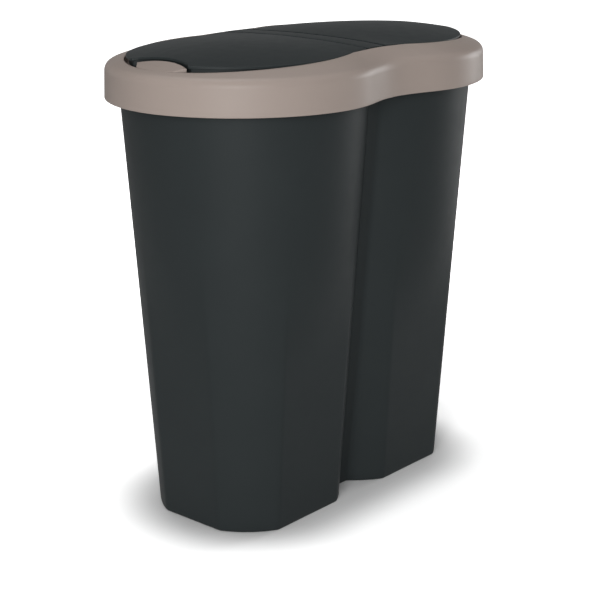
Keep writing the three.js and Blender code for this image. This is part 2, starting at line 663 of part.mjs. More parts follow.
// The block under the lid's top, from startX to the tip, inset from the lid's edge: its upper face lies
// `drop` under the top, and its lower face at bottomAt(x, y).
function lidBlock(startX, inset, drop, bottomAt) {
  const endX = lidTipX - LID_TIP_TRIM - inset;
  const rows = Array.from({ length: LID_STEPS_ALONG + 1 }, (_, i) => {
    const share = Math.sin(((i / LID_STEPS_ALONG) * Math.PI) / 2);
    const x = startX + (endX - startX) * share;
    const half = lidHalfWidth(x) - inset;
    return Array.from({ length: LID_STEPS_ACROSS + 1 }, (_, j) => {
      return [x, half * ((2 * j) / LID_STEPS_ACROSS - 1)];
    });
  });
  const flat = rows.flat();
  const total = flat.length;
  const width = LID_STEPS_ACROSS + 1;
  const positions = [
    ...flat.flatMap(([x, y]) => [x, y, lidTop(x, y) - drop]),
    ...flat.flatMap(([x, y]) => [x, y, bottomAt(x, y)]),
  ];
  const index = [];
  const quad = (a, b, c, d) => index.push(a, b, c, a, c, d);
  for (let i = 0; i < LID_STEPS_ALONG; i++) {
    for (let j = 0; j < LID_STEPS_ACROSS; j++) {
      const [a, b, c, d] = [i * width + j, (i + 1) * width + j, (i + 1) * width + j + 1, i * width + j + 1];
      quad(a, b, c, d);
      quad(total + a, total + d, total + c, total + b);
    }
  }
  for (let i = 0; i < LID_STEPS_ALONG; i++) {
    const [front, back] = [i * width, i * width + LID_STEPS_ACROSS];
    quad(total + front, total + front + width, front + width, front);
    quad(back, back + width, total + back + width, total + back);
  }
  for (let j = 0; j < LID_STEPS_ACROSS; j++) {
    const tip = LID_STEPS_ALONG * width + j;
    quad(j, j + 1, total + j + 1, total + j);
    quad(tip, total + tip, total + tip + 1, tip + 1);
  }
  const geometry = new THREE.BufferGeometry();
  geometry.setAttribute("position", new THREE.Float32BufferAttribute(positions, 3));
  geometry.setIndex(index);
  return solid(geometry);
}

// ---------- lid ----------

const buttonArcX = BUTTON_INNER_X + BUTTON_ARC_RADIUS;
const ARC_STEPS = 8;
const NOTCH_MARGIN = 20; // how far the notch's cut runs past the lid

// Points of the button's inner arc, grown towards the lid, from front to back.
function buttonArc(grow) {
  const radius = BUTTON_ARC_RADIUS + grow;
  const half = BUTTON_HALF_WIDTH + grow;
  return Array.from({ length: ARC_STEPS + 1 }, (_, i) => {
    const y = half * ((2 * i) / ARC_STEPS - 1);
    return [buttonArcX - Math.sqrt(radius ** 2 - y ** 2), y];
  });
}

// The notch that the button sits in, and the room that a rib keeps round it.
function lidNotch(grow) {
  const arc = buttonArc(grow);
  const [cornerX, half] = arc.at(-1);
  const far = lidTipX + NOTCH_MARGIN;
  const farHalf = half + NOTCH_SPLAY * (far - cornerX);
  const outline = [...arc.reverse(), [far, -farHalf], [far, farHalf]];
  return plateXY(outline, LID_RIB_BOTTOM - NOTCH_MARGIN, LID_EDGE_HEIGHT + NOTCH_MARGIN);
}

const knuckleY = bridgeShelfInnerY - KNUCKLE_TO_SHELF;

// A disc round the hinge axis on a block, at a span of Y.
function knuckle(span, [z0, z1]) {
  const side = [HINGE_X - KNUCKLE_RADIUS, HINGE_X + KNUCKLE_RADIUS];
  return join(rodY(KNUCKLE_RADIUS, span, HINGE_X, HINGE_Z), box(side, span, [z0, z1]));
}

const hingeBore = () => rodY(HINGE_BORE_RADIUS, [-knuckleY * 2, knuckleY * 2], HINGE_X, HINGE_Z);

function buildLid() {
  const skin = lidBlock(LID_INNER_X, 0, 0, (x, y) => lidTop(x, y) - LID_WALL);
  const belowRib = () => LID_RIB_BOTTOM - OVERSHOOT;
  const outer = lidBlock(LID_RIB_START_X, LID_RIB_INSET, LID_WALL / 2, () => LID_RIB_BOTTOM);
  const inner = lidBlock(LID_INNER_X, LID_RIB_INSET + LID_RIB_WIDTH, -LID_WALL, belowRib);
  const rib = cut(
    cut(outer, lidNotch(BUTTON_NOTCH_GAP + LID_RIB_INSET)),
    cut(inner, lidNotch(BUTTON_NOTCH_GAP + LID_RIB_INSET + LID_RIB_WIDTH)),
  );
  const knuckles = ends.map((end) => {
    const centre = end * knuckleY;
    const span = [centre - KNUCKLE_WIDTH / 2, centre + KNUCKLE_WIDTH / 2];
    return knuckle(span, [HINGE_Z, lidTop(HINGE_X, centre + KNUCKLE_WIDTH / 2) - LID_WALL / 2]);
  });
  const catchTop = lidTop(CATCH_INNER_X, 0) - LID_WALL / 2;
  const outerX = CATCH_INNER_X + CATCH_THICKNESS;
  const hook = plateXZ(
    [
      [CATCH_INNER_X, CATCH_BOTTOM],
      [outerX, CATCH_BOTTOM],
      [outerX + CATCH_BARB, CATCH_BOTTOM + CATCH_BARB_HEIGHT * CATCH_BARB_SLANT],
      [outerX + CATCH_BARB, CATCH_BOTTOM + CATCH_BARB_HEIGHT],
      [outerX, CATCH_BOTTOM + CATCH_BARB_HEIGHT],
      [outerX, catchTop],
      [CATCH_INNER_X, catchTop],
    ],
    -CATCH_HALF_WIDTH,
    CATCH_HALF_WIDTH,
  );
  return cut(join(cut(skin, lidNotch(BUTTON_NOTCH_GAP)), rib, ...knuckles, hook), hingeBore());
}

// ---------- hinge bridge ----------

// The strip between the lids follows their tops at their inner edge.
const stripTop = (y) => lidTop(LID_INNER_X, y);

// Half width left beside the circle that the lid's inner corner sweeps.
function stripHalfWidth(y) {
  const sweep = Math.hypot(HINGE_X - LID_INNER_X, stripTop(y) - HINGE_Z);
  return HINGE_X - sweep - BRIDGE_SWEEP_GAP;
}

const plateTop = LEDGE_BOTTOM - CLEARANCE;
const plateBottom = plateTop - BRIDGE_PLATE_THICKNESS;
const BRIDGE_STEPS = 12;

function buildStrip() {
  const halfLength = lidHalfWidth(0);
  const half = stripHalfWidth(0);
  const rounding = BRIDGE_EDGE_ROUNDING;
  const section = (y) => {
    const top = stripTop(y);
    const side = [
      [half, plateBottom],
      [half, top - rounding],
      [half - rounding * ROUND_MIDDLE, top - rounding * ROUND_MIDDLE],
      [half - rounding, top],
    ];
    const inner = [
      [-half + BRIDGE_WALL, plateBottom],
      [-half + BRIDGE_WALL, top - BRIDGE_WALL],
      [half - BRIDGE_WALL, top - BRIDGE_WALL],
      [half - BRIDGE_WALL, plateBottom],
    ];
    const mirrored = side.map(([x, z]) => [-x, z]).reverse();
    return [...side, ...mirrored, ...inner].map(([x, z]) => new THREE.Vector3(x, z, y));
  };
  const rings = Array.from({ length: BRIDGE_STEPS + 1 }, (_, i) =>
    section(halfLength * ((2 * i) / BRIDGE_STEPS - 1)),
  );
  return solid(geometryOf(loft(rings)).rotateX(Math.PI / 2));
}

function buildBridge() {
  const plateX = [-BRIDGE_PLATE_HALF_WIDTH, BRIDGE_PLATE_HALF_WIDTH];
  const plateY = [-bridgePlateEndY, bridgePlateEndY];
  const plate = box(plateX, plateY, [plateBottom, plateTop]);
  const far = lidWidthRadius * 2;
  const shelfY = bridgeShelfInnerY - CLEARANCE;
  const shelfSpan = [plateBottom - OVERSHOOT, LEDGE_TOP + CLEARANCE];
  const shelfRoom = ends.map((end) => box([-far, far], sorted(end * shelfY, end * far), shelfSpan));
  const offset = KNUCKLE_WIDTH / 2 + POST_GAP + POST_WIDTH / 2;
  const posts = corners.flatMap(([sx, sy]) =>
    [-1, 1].map((step) => {
      const y = sy * knuckleY + step * offset;
      const post = knuckle([y - POST_WIDTH / 2, y + POST_WIDTH / 2], [plateTop - OVERSHOOT, HINGE_Z]);
      return sx > 0 ? post : post.mirror([1, 0, 0]);
    }),
  );
  const bores = [hingeBore(), hingeBore().mirror([1, 0, 0])];
  const throughPlate = [plateBottom - OVERSHOOT, plateTop + OVERSHOOT];
  const screwHoles = corners.map(([sx, sy]) =>
    rodZ(SCREW_RADIUS + CLEARANCE, throughPlate, sx * SCREW_X, sy * screwY),
  );
  return cut(join(cut(buildStrip(), ...shelfRoom), plate, ...posts), ...bores, ...screwHoles);
}

// A pan-head screw, head down, shank up.
function buildScrew() {
  const profile = [
    [0, -SCREW_HEAD_HEIGHT],
    [SCREW_HEAD_RADIUS * SCREW_HEAD_FLAT, -SCREW_HEAD_HEIGHT],
    [SCREW_HEAD_RADIUS, -SCREW_HEAD_HEIGHT / 2],
    [SCREW_HEAD_RADIUS, 0],
    [SCREW_RADIUS, 0],
    [SCREW_RADIUS, SCREW_LENGTH - SCREW_TIP_HEIGHT],
    [0, SCREW_LENGTH],
  ];
  const points = profile.map(([x, y]) => new THREE.Vector2(x, y));
  return new THREE.LatheGeometry(points, 16).rotateX(Math.PI / 2);
}

// ---------- hinge hardware ----------

const postOuterY = knuckleY + KNUCKLE_WIDTH / 2 + POST_GAP + POST_WIDTH;
const clipInnerY = postOuterY + CLEARANCE;
const pinHalfLength = clipInnerY + CLIP_THICKNESS + OVERSHOOT;

const buildHingePin = () => rodY(HINGE_PIN_RADIUS, [-pinHalfLength, pinHalfLength], HINGE_X, HINGE_Z);

function buildPinClip(end) {
  const span = sorted(end * clipInnerY, end * (clipInnerY + CLIP_THICKNESS));
  const bore = [span[0] - OVERSHOOT, span[1] + OVERSHOOT];
  return cut(rodY(CLIP_RADIUS, span, HINGE_X, HINGE_Z), rodY(HINGE_BORE_RADIUS, bore, HINGE_X, HINGE_Z));
}

// Torsion spring round the pin: one leg stands on the bridge's plate, the other lies under the lid.
function buildLidSpring() {
  const steps = LID_SPRING_TURNS * SPRING_STEPS;
  const turns = LID_SPRING_TURNS + LID_SPRING_LAST_TURN;
  const coil = Array.from({ length: steps + 1 }, (_, i) => {
    const angle = Math.PI - (i / steps) * turns * 2 * Math.PI;
    const y = LID_SPRING_HALF_LENGTH * ((2 * i) / steps - 1);
    return new THREE.Vector3(
      HINGE_X + LID_SPRING_RADIUS * Math.cos(angle),
      y,
      HINGE_Z + LID_SPRING_RADIUS * Math.sin(angle),
    );
  });
  const half = LID_SPRING_WIRE / 2;
  const footZ = plateTop + CLEARANCE + half;
  const lowLeg = [footZ, HINGE_Z - LID_SPRING_RADIUS].map(
    (z) => new THREE.Vector3(HINGE_X - LID_SPRING_RADIUS, -LID_SPRING_HALF_LENGTH - half, z),
  );
  const tipX = HINGE_X + LID_SPRING_LEG;
  const tipZ = lidTop(tipX, LID_SPRING_HALF_LENGTH) - LID_WALL - CLEARANCE - half;
  const highLeg = new THREE.Vector3(tipX, LID_SPRING_HALF_LENGTH + half, tipZ);
  return wire([...lowLeg, ...coil, highLeg], LID_SPRING_WIRE, steps + SPRING_STEPS, SPRING_SIDES);
}

// ---------- push button ----------

function buttonFace(x, y) {
  const across = y / BUTTON_HALF_WIDTH;
  return BUTTON_HEIGHT - BUTTON_SLOPE * (x - BUTTON_INNER_X) - BUTTON_CROWN * across ** 2;
}

const buttonOuterX = openingEndX - BUTTON_EDGE_GAP;
const BUTTON_STATIONS = [-0.98, -0.88, -0.75, -0.56, -0.38, -0.19, 0, 0.19, 0.38, 0.56, 0.75, 0.88, 0.98];

// Where the button starts and ends at y, drawn in by `inset`: an arc towards the lid, and outside the
// opening's own curve, cut off by a straight side at each corner.
function buttonSpan(y, inset) {
  const radius = BUTTON_ARC_RADIUS - inset;
  const from = buttonArcX - Math.sqrt(radius ** 2 - y ** 2);
  const lengthRadius = OPENING_LENGTH_RADIUS - BUTTON_EDGE_GAP - inset;
  const widthRadius = OPENING_WIDTH_RADIUS - BUTTON_EDGE_GAP - inset;
  const share = (Math.abs(y) / widthRadius) ** ROUNDNESS;
  const curve = LOBE_X + lengthRadius * (1 - share) ** (1 / ROUNDNESS);
  const cornerX = buttonArcX - Math.sqrt(radius ** 2 - (BUTTON_HALF_WIDTH - inset) ** 2);
  const side = cornerX + BUTTON_CORNER_SLOPE * (BUTTON_HALF_WIDTH - inset - Math.abs(y));
  return [from, Math.min(curve, side)];
}

// The block under the button's face, drawn in by `inset`, its top `topDrop` under the face.
function buttonBlock(inset, topDrop, bottomAt) {
  const half = BUTTON_HALF_WIDTH - inset;
  const rings = BUTTON_STATIONS.map((station) => {
    const y = station * half;
    const [from, to] = buttonSpan(y, inset);
    return [
      new THREE.Vector3(from, bottomAt(from), y),
      new THREE.Vector3(to, bottomAt(to), y),
      new THREE.Vector3(to, buttonFace(to, y) - topDrop, y),
      new THREE.Vector3(from, buttonFace(from, y) - topDrop, y),
    ];
  });
  return solid(geometryOf(loft(rings)).rotateX(Math.PI / 2));
}

const stemShoulder = GUIDE_BOTTOM - CLEARANCE / 2;
const buttonClipTop = GUIDE_BOTTOM - CLEARANCE;
const stemFootTop = buttonClipTop - CLIP_THICKNESS - STEM_PLAY;
const stemTipTop = stemFootTop - STEM_FOOT_HEIGHT;
const stemTip = stemTipTop - STEM_TIP_HEIGHT;

function buildButton() {
  const skirtRest = LEDGE_TOP + CLEARANCE + BUTTON_TRAVEL;
  const skirt = (x) => skirtRest + BUTTON_SKIRT_SLOPE * (buttonOuterX - x);
  const cap = cut(
    buttonBlock(0, 0, skirt),
    buttonBlock(BUTTON_WALL, BUTTON_WALL, (x) => skirt(x) - OVERSHOOT),
  );
  const stemTop = buttonFace(STEM_X, 0) - BUTTON_WALL;
  const stem = [
    rodZ(STEM_RADIUS, [stemShoulder, stemTop], STEM_X, 0),
    rodZ(STEM_NECK_RADIUS, [stemFootTop - STEM_OVERLAP, stemShoulder + STEM_OVERLAP], STEM_X, 0),
    rodZ(STEM_FOOT_RADIUS, [stemTipTop, stemFootTop], STEM_X, 0),
    rodZ(STEM_TIP_RADIUS, [stemTip, stemTipTop + STEM_OVERLAP], STEM_X, 0),
  ];
  return join(cap, ...stem);
}

function buildButtonClip() {
  const span = [buttonClipTop - CLIP_THICKNESS, buttonClipTop];
  const bore = [span[0] - OVERSHOOT, span[1] + OVERSHOOT];
  return cut(
    rodZ(GUIDE_RADIUS - BUTTON_CLIP_INSET, span, STEM_X, 0),
    rodZ(STEM_NECK_RADIUS + CLEARANCE, bore, STEM_X, 0),
  );
}

function buildButtonSpring() {
  const half = BUTTON_SPRING_WIRE / 2;
  const low = LEDGE_TOP + CLEARANCE + half;
  const high = LEDGE_TOP + BUTTON_SPRING_HEIGHT;
  const steps = BUTTON_SPRING_TURNS * SPRING_STEPS;
  const coil = Array.from({ length: steps + 1 }, (_, i) => {
    const angle = (i / SPRING_STEPS) * 2 * Math.PI;
    const z = low + ((high - low) * i) / steps;
    return new THREE.Vector3(
      STEM_X + BUTTON_SPRING_RADIUS * Math.cos(angle),
      BUTTON_SPRING_RADIUS * Math.sin(angle),
      z,
    );
  });
  return wire(coil, BUTTON_SPRING_WIRE, steps, SPRING_SIDES);
}

// ---------- latch lever ----------

function buildLatch() {
  const footTop = stemTip - LATCH_FREE_PLAY;
  const footBottom = footTop - LATCH_FOOT_THICKNESS;
  const [armInner, armOuter] = [LATCH_X - LATCH_ARM / 2, LATCH_X + LATCH_ARM / 2];
  const armTop = LATCH_Z + LATCH_HEIGHT;
  const noseBottom = armTop - LATCH_NOSE_HEIGHT;
  const footEnd = STEM_X + LATCH_FOOT_REACH;
  const outline = [
    [armInner, footBottom],
    [footEnd, footBottom],
    [footEnd, footTop],
    [armOuter, footTop],
    [armOuter, armTop],
    [armInner - LATCH_NOSE, armTop],
    [armInner - LATCH_NOSE, noseBottom],
    [armInner, noseBottom],
  ];
  const lever = plateXZ(outline, -LATCH_HALF_WIDTH, LATCH_HALF_WIDTH);
  const hub = rodY(LATCH_HUB_RADIUS, [-LATCH_HALF_WIDTH, LATCH_HALF_WIDTH], LATCH_X, LATCH_Z, 20);
  const span = [-LATCH_HALF_WIDTH - OVERSHOOT, LATCH_HALF_WIDTH + OVERSHOOT];
  return cut(join(lever, hub), rodY(LATCH_BORE_RADIUS, span, LATCH_X, LATCH_Z, 16));
}

function buildLatchPin() {
  const reach = LATCH_HALF_WIDTH + CLEARANCE * 2 + CHEEK_THICKNESS + LATCH_PIN_REACH;
  return rodY(LATCH_PIN_RADIUS, [-reach, reach], LATCH_X, LATCH_Z, 16);
}

// ---------- lid buffers ----------

// A rubber pad under the lid's rib, where the lid is widest.
function buildBuffer(end) {
  const y = end * (lidWidthRadius - LID_RIB_INSET - LID_RIB_WIDTH / 2);
  const [hx, hy, c] = [BUFFER_LENGTH / 2, BUFFER_WIDTH / 2, BUFFER_CORNER];
  const outline = [
    [hx - c, -hy],
    [hx, -hy + c],
    [hx, hy - c],
    [hx - c, hy],
    [-hx + c, hy],
    [-hx, hy - c],
    [-hx, -hy + c],
    [-hx + c, -hy],
  ].map(([px, py]) => [LOBE_X + px, y + py]);
  return plateXY(outline, LEDGE_TOP + CLEARANCE, LID_RIB_BOTTOM - BUFFER_SEAT);
}

// ---------- the assembly ----------

const bin = new THREE.Group();
bin.add(
  piece("tub", buildTub(), finishes.graphite),
  piece("divider_panel", buildDivider(), finishes.graphite),
  piece("lid_frame", buildFrame(), finishes.taupe),
  piece("hinge_bridge", buildBridge(), finishes.graphite),
);

corners.forEach(([sx, sy], i) => {
  const screw = piece(`bridge_screw_${i + 1}`, buildScrew(), finishes.steel);
  screw.position.set(sx * SCREW_X, sy * screwY, plateBottom);
  bin.add(screw);
});

// Everything at one end is built for +X, and mirrored for the other.
for (const [side, mirror] of [["left", -1], ["right", 1]]) {
  const half = new THREE.Group();
  half.scale.x = mirror;
  half.add(
    piece(`${side}_lid`, buildLid(), finishes.graphite),
    piece(`${side}_lid_buffer_front`, buildBuffer(-1), finishes.rubber),
    piece(`${side}_lid_buffer_back`, buildBuffer(1), finishes.rubber),
    piece(`${side}_hinge_pin`, buildHingePin(), finishes.steel),
    piece(`${side}_pin_clip_front`, buildPinClip(-1), finishes.steel),
    piece(`${side}_pin_clip_back`, buildPinClip(1), finishes.steel),
    piece(`${side}_lid_spring`, buildLidSpring(), finishes.steel),
    piece(`${side}_button`, buildButton(), finishes.taupe),
    piece(`${side}_button_clip`, buildButtonClip(), finishes.steel),
    piece(`${side}_button_spring`, buildButtonSpring(), finishes.steel),
    piece(`${side}_latch`, buildLatch(), finishes.graphite),
    piece(`${side}_latch_pin`, buildLatchPin(), finishes.steel),
  );
  bin.add(half);
}

export default bin;
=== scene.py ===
"""The looks of a double recycling bin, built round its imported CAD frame.

A figure-of-eight tub in dark moulded polypropylene, a taupe collar over its rim, and two domed lids hinged
on a narrow bridge, each let go by a taupe push button. Shapes are worked out in millimetres, in the CAD
frame: +X along the bin, +Y to the back, +Z up, with the origin at the centre of the base. Each end is built
for +X and mirrored for the other.
"""

import logging
import math
from dataclasses import dataclass, field
from enum import Enum
from functools import partial
from typing import Callable, Optional

import bpy
import numpy as np
from mathutils.geometry import tessellate_polygon
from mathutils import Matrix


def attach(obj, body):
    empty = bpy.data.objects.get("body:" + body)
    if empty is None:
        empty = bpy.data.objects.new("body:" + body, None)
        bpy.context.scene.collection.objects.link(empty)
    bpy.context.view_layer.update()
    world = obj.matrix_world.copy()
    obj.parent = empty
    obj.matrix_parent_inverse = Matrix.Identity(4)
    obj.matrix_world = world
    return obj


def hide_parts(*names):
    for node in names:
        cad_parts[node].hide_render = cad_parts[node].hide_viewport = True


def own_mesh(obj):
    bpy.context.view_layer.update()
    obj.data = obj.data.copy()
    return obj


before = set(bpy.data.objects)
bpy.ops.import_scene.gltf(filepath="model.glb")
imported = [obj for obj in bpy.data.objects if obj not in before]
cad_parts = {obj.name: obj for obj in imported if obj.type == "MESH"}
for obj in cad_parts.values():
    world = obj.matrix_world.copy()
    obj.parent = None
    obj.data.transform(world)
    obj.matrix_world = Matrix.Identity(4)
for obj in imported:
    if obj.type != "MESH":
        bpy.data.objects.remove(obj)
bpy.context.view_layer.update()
log = logging.getLogger("recycling_bin")

METRES = 0.001  # per millimetre
CLEARANCE = 0.3  # between pieces that rest on or beside each other
TRIM = 0.4  # chamfer that the small edges of a moulding end in
FILLET_MIDDLE = 0.3  # share of a fillet's radius that its middle stands off both faces
LOBE_X = 90.0  # centre of a chamber, each side of the middle
ROUNDNESS = 1.92  # power of the collar's and lids' superellipse outlines
FAR = 200.0  # beyond every outline across the bin
OVERLAP = 1.0  # how far the parts of one moulding reach into each other
TINY = 1e-3  # keeps a divisor off zero
SHARP_DEGREES = 32.0  # an edge that turns by more than this stays sharp
SIDES = ("left", "right")
CORNERS = ((-1, -1), (-1, 1), (1, -1), (1, 1))  # signs of x and y


# ---------- whole-array shapes ----------


@dataclass
class Surface:
    """Points in millimetres and faces of one or more closed surfaces.

    Args:
        points: array of shape (n, 3).
        faces: one tuple of point numbers per face.
    """

    points: np.ndarray
    faces: list

    def mirrored(self) -> "Surface":
        """The same surface reflected in the plane between the chambers, its faces still outwards."""
        flipped = [tuple(reversed(face)) for face in self.faces]
        return Surface(self.points * np.array([-1.0, 1.0, 1.0]), flipped)

    def moved(self, x: float, y: float) -> "Surface":
        """The same surface shifted by x and y."""
        return Surface(self.points + np.array([x, y, 0.0]), self.faces)

    def on_side(self, side: str) -> "Surface":
        """The surface itself on the right, and its mirror image on the left."""
        return self.mirrored() if side == "left" else self


def joined(*surfaces: Surface) -> Surface:
    """Several closed surfaces as one.

    Args:
        surfaces: the surfaces, which keep their own points.

    Returns:
        One surface that holds them all.
    """
    starts = np.cumsum([0] + [len(surface.points) for surface in surfaces])
    faces = [
        tuple(int(start) + number for number in face)
        for surface, start in zip(surfaces, starts)
        for face in surface.faces
    ]
    return Surface(np.vstack([surface.points for surface in surfaces]), faces)


def outwards(surface: Surface) -> Surface:
    """Turns a closed surface so that its faces point outwards.

    The volume is the sum over triangles of a corner dotted with the cross product of the other two, over
    six. Where it is negative, every face is reversed.

    Args:
        surface: one closed surface.

    Returns:
        The surface with its faces outwards.
    """
    fans = np.array(
        [(face[0], face[k], face[k + 1]) for face in surface.faces for k in range(1, len(face) - 1)]
    )
    a, b, c = (surface.points[fans[:, k]] for k in range(3))
    volume = np.einsum("ij,ij->i", a, np.cross(b, c)).sum() / 6
    if volume > 0:
        return surface
    return Surface(surface.points, [tuple(reversed(face)) for face in surface.faces])


def lofted(
    rings: np.ndarray,
    first: Optional[np.ndarray] = None,
    last: Optional[np.ndarray] = None,
    tube: bool = False,
) -> Surface:
    """A closed surface through a stack of closed rings.

    Points k and k + 1 of each ring join the same points of the next by a four-sided face. The stack ends in
    a pole point or a flat cap at each end, or runs round so that its last ring joins its first.

    Args:
        rings: array of shape (rings, points, 3).
        first: pole that closes the first ring, or None for a flat cap.
        last: pole that closes the last ring, or None for a flat cap.
        tube: True where the last ring joins the first.

    Returns:
        The surface, with its faces outwards.
    """
    count, width = rings.shape[:2]
    points = rings.reshape(-1, 3)
    spans = np.arange(count if tube else count - 1)
    along = np.arange(width)
    low = (spans[:, None] * width + along).ravel()
    low_next = (spans[:, None] * width + (along + 1) % width).ravel()
    high = (((spans + 1) % count)[:, None] * width + along).ravel()
    high_next = (((spans + 1) % count)[:, None] * width + (along + 1) % width).ravel()
    faces = list(map(tuple, np.stack([low, low_next, high_next, high], axis=1).tolist()))
    if not tube:
        for pole, ring, forward in ((first, 0, False), (last, count - 1, True)):
            rim = (ring * width + along).tolist()
            if pole is None:
                faces.append(tuple(rim if forward else reversed(rim)))
                continue
            points = np.vstack([points, pole])
            tip = len(points) - 1
            following = rim[1:] + rim[:1]
            pairs = zip(rim, following) if forward else zip(following, rim)
            faces.extend((a, b, tip) for a, b in pairs)
    return outwards(Surface(points, faces))


def ring_at(outline: np.ndarray, height: float) -> np.ndarray:
    """A flat outline of shape (n, 2) as a ring of shape (n, 3) at one height."""
    return np.column_stack([outline, np.full(len(outline), height)])


def inset(outline: np.ndarray, distance: float) -> np.ndarray:
    """A counterclockwise outline drawn in by a distance.

    Each point moves along the inward normal, which is the direction from the point before it to the point
    after it, turned left by a quarter.

    Args:
        outline: array of shape (n, 2).
        distance: how far to move inwards.

    Returns:
        Array of shape (n, 2).
    """
    run = np.roll(outline, -1, axis=0) - np.roll(outline, 1, axis=0)
    run /= np.linalg.norm(run, axis=1, keepdims=True)
    return outline + distance * np.column_stack([-run[:, 1], run[:, 0]])


def resampled(outline: np.ndarray, count: int) -> np.ndarray:
    """A closed outline read off at evenly spaced lengths.

    Args:
        outline: array of shape (n, 2).
        count: number of points wanted.

    Returns:
        Array of shape (count, 2).
    """
    closed = np.vstack([outline, outline[:1]])
    length = np.concatenate([[0.0], np.cumsum(np.linalg.norm(np.diff(closed, axis=0), axis=1))])
    wanted = np.linspace(0, length[-1], count, endpoint=False)
    return np.column_stack([np.interp(wanted, length, closed[:, k]) for k in range(2)])


def softened(outline: np.ndarray, count: int, radius: float) -> np.ndarray:
    """A closed outline with its corners rounded.

    The outline is read off at even lengths, and each point becomes the mean of its neighbours within the
    radius, weighted by a cosine bell.

    Args:
        outline: array of shape (n, 2).
        count: number of points wanted.
        radius: reach of the mean, in millimetres.

    Returns:
        Array of shape (count, 2).
    """
    even = resampled(outline, count)
    step = np.linalg.norm(np.roll(even, -1, axis=0) - even, axis=1).mean()
    reach = max(1, int(round(radius / step)))
    shifts = np.arange(-reach, reach + 1)
    weights = 1 + np.cos(np.pi * shifts / (reach + 1))
    weights /= weights.sum()
    return sum(weight * np.roll(even, -int(shift), axis=0) for weight, shift in zip(weights, shifts))


def turning(loop: np.ndarray) -> float:
    """Twice the area that a flat loop goes round, positive where it runs counterclockwise."""
    ahead = np.roll(loop, -1, axis=0)
    return float((loop[:, 0] * ahead[:, 1] - loop[:, 1] * ahead[:, 0]).sum())


def plate(outline: np.ndarray, low: float, high: float, holes: tuple = ()) -> Surface:
    """A flat plate with upright sides.

    The two faces are the outline's triangles, and each side face joins an edge at one height to the same
    edge at the other.

    Args:
        outline: array of shape (n, 2).
        low: height of the lower face.
        high: height of the upper face.
        holes: outlines that go right through.

    Returns:
        The surface, with its faces outwards.
    """
    loops = [outline, *holes]
    flat = np.vstack(loops)
    count = len(flat)
    points = np.vstack([ring_at(flat, low), ring_at(flat, high)])
    triangles = tessellate_polygon([[(x, y, 0.0) for x, y in loop.tolist()] for loop in loops])
    area = [turning(np.array([flat[a], flat[b], flat[c]])) for a, b, c in triangles]
    upward = [tri if turn > 0 else tri[::-1] for tri, turn in zip(triangles, area)]
    faces = [tuple(number + count for number in tri) for tri in upward]
    faces += [tuple(tri[::-1]) for tri in upward]
    start = 0
    for k, loop in enumerate(loops):
        counterclockwise = turning(np.asarray(loop)) > 0
        numbers = np.arange(len(loop))
        ends = (numbers + 1) % len(loop)
        a, b = (numbers + start).tolist(), (ends + start).tolist()
        outward = counterclockwise == (k == 0)
        for p, q in zip(a, b):
            faces.append((p, q, q + count, p + count) if outward else (q, p, p + count, q + count))
        start += len(loop)
    return Surface(points, faces)


def bar_along_y(profile: np.ndarray, low: float, high: float) -> Surface:
    """A profile of (x, z) points carried straight from one y to another."""
    flat = plate(profile, low, high)
    turned = np.column_stack([flat.points[:, 0], flat.points[:, 2], flat.points[:, 1]])
    return outwards(Surface(turned, flat.faces))


def turned(profile: list, sides: int = 48) -> Surface:
    """A solid of revolution round the Z axis.

    Each (radius, height) of the profile becomes a ring: x is the radius times the cosine of the angle, and y
    is the radius times its sine. The first and last points lie on the axis and become the poles.

    Args:
        profile: (radius, height) pairs from bottom to top, the first and last with no radius.
        sides: points round each ring.

    Returns:
        The surface, with its faces outwards.
    """
    angle = np.linspace(0, 2 * np.pi, sides, endpoint=False)
    rings = [ring_at(r * np.column_stack([np.cos(angle), np.sin(angle)]), z) for r, z in profile[1:-1]]
    return lofted(np.array(rings), np.array([0, 0, profile[0][1]]), np.array([0, 0, profile[-1][1]]))


def arc(centre: tuple, radius: float, start: float, end: float, count: int) -> np.ndarray:
    """Points evenly round part of a circle: the centre plus the radius times the angle's cosine and sine.

    Args:
        centre: x and y of the circle's centre.
        radius: of the circle.
        start: first angle.
        end: last angle.
        count: number of points.

    Returns:
        Array of shape (count, 2).
    """
    angle = np.linspace(start, end, count)
    return np.array(centre) + radius * np.column_stack([np.cos(angle), np.sin(angle)])


def circle(radius: float, x: float, y: float) -> np.ndarray:
    """A whole counterclockwise circle of 40 points."""
    return arc((x, y), radius, 0, 2 * np.pi, 41)[:-1]


def rectangle(half_x: float, half_y: float) -> np.ndarray:
    """A counterclockwise rectangle round the origin, as an array of shape (4, 2)."""
    return np.array([[-half_x, -half_y], [half_x, -half_y], [half_x, half_y], [-half_x, half_y]])


def rounded_bar(
    axis: tuple, radius: float, end_z: float, low: float, high: float, count: int = 25
) -> Surface:
    """A bar along Y, half round about an axis and flat at its other end.

    Args:
        axis: x and z of the axis.
        radius: of the round end, and half the bar's width.
        end_z: height of the flat end, above or below the axis.
        low: lowest y.
        high: highest y.
        count: points round the round end.

    Returns:
        The surface, with its faces outwards.
    """
    start = np.pi if end_z > axis[1] else 0.0
    round_end = arc(axis, radius, start, start + np.pi, count)
    flat_end = np.column_stack([round_end[[-1, 0], 0], [end_z, end_z]])
    return bar_along_y(np.vstack([round_end, flat_end]), low, high)


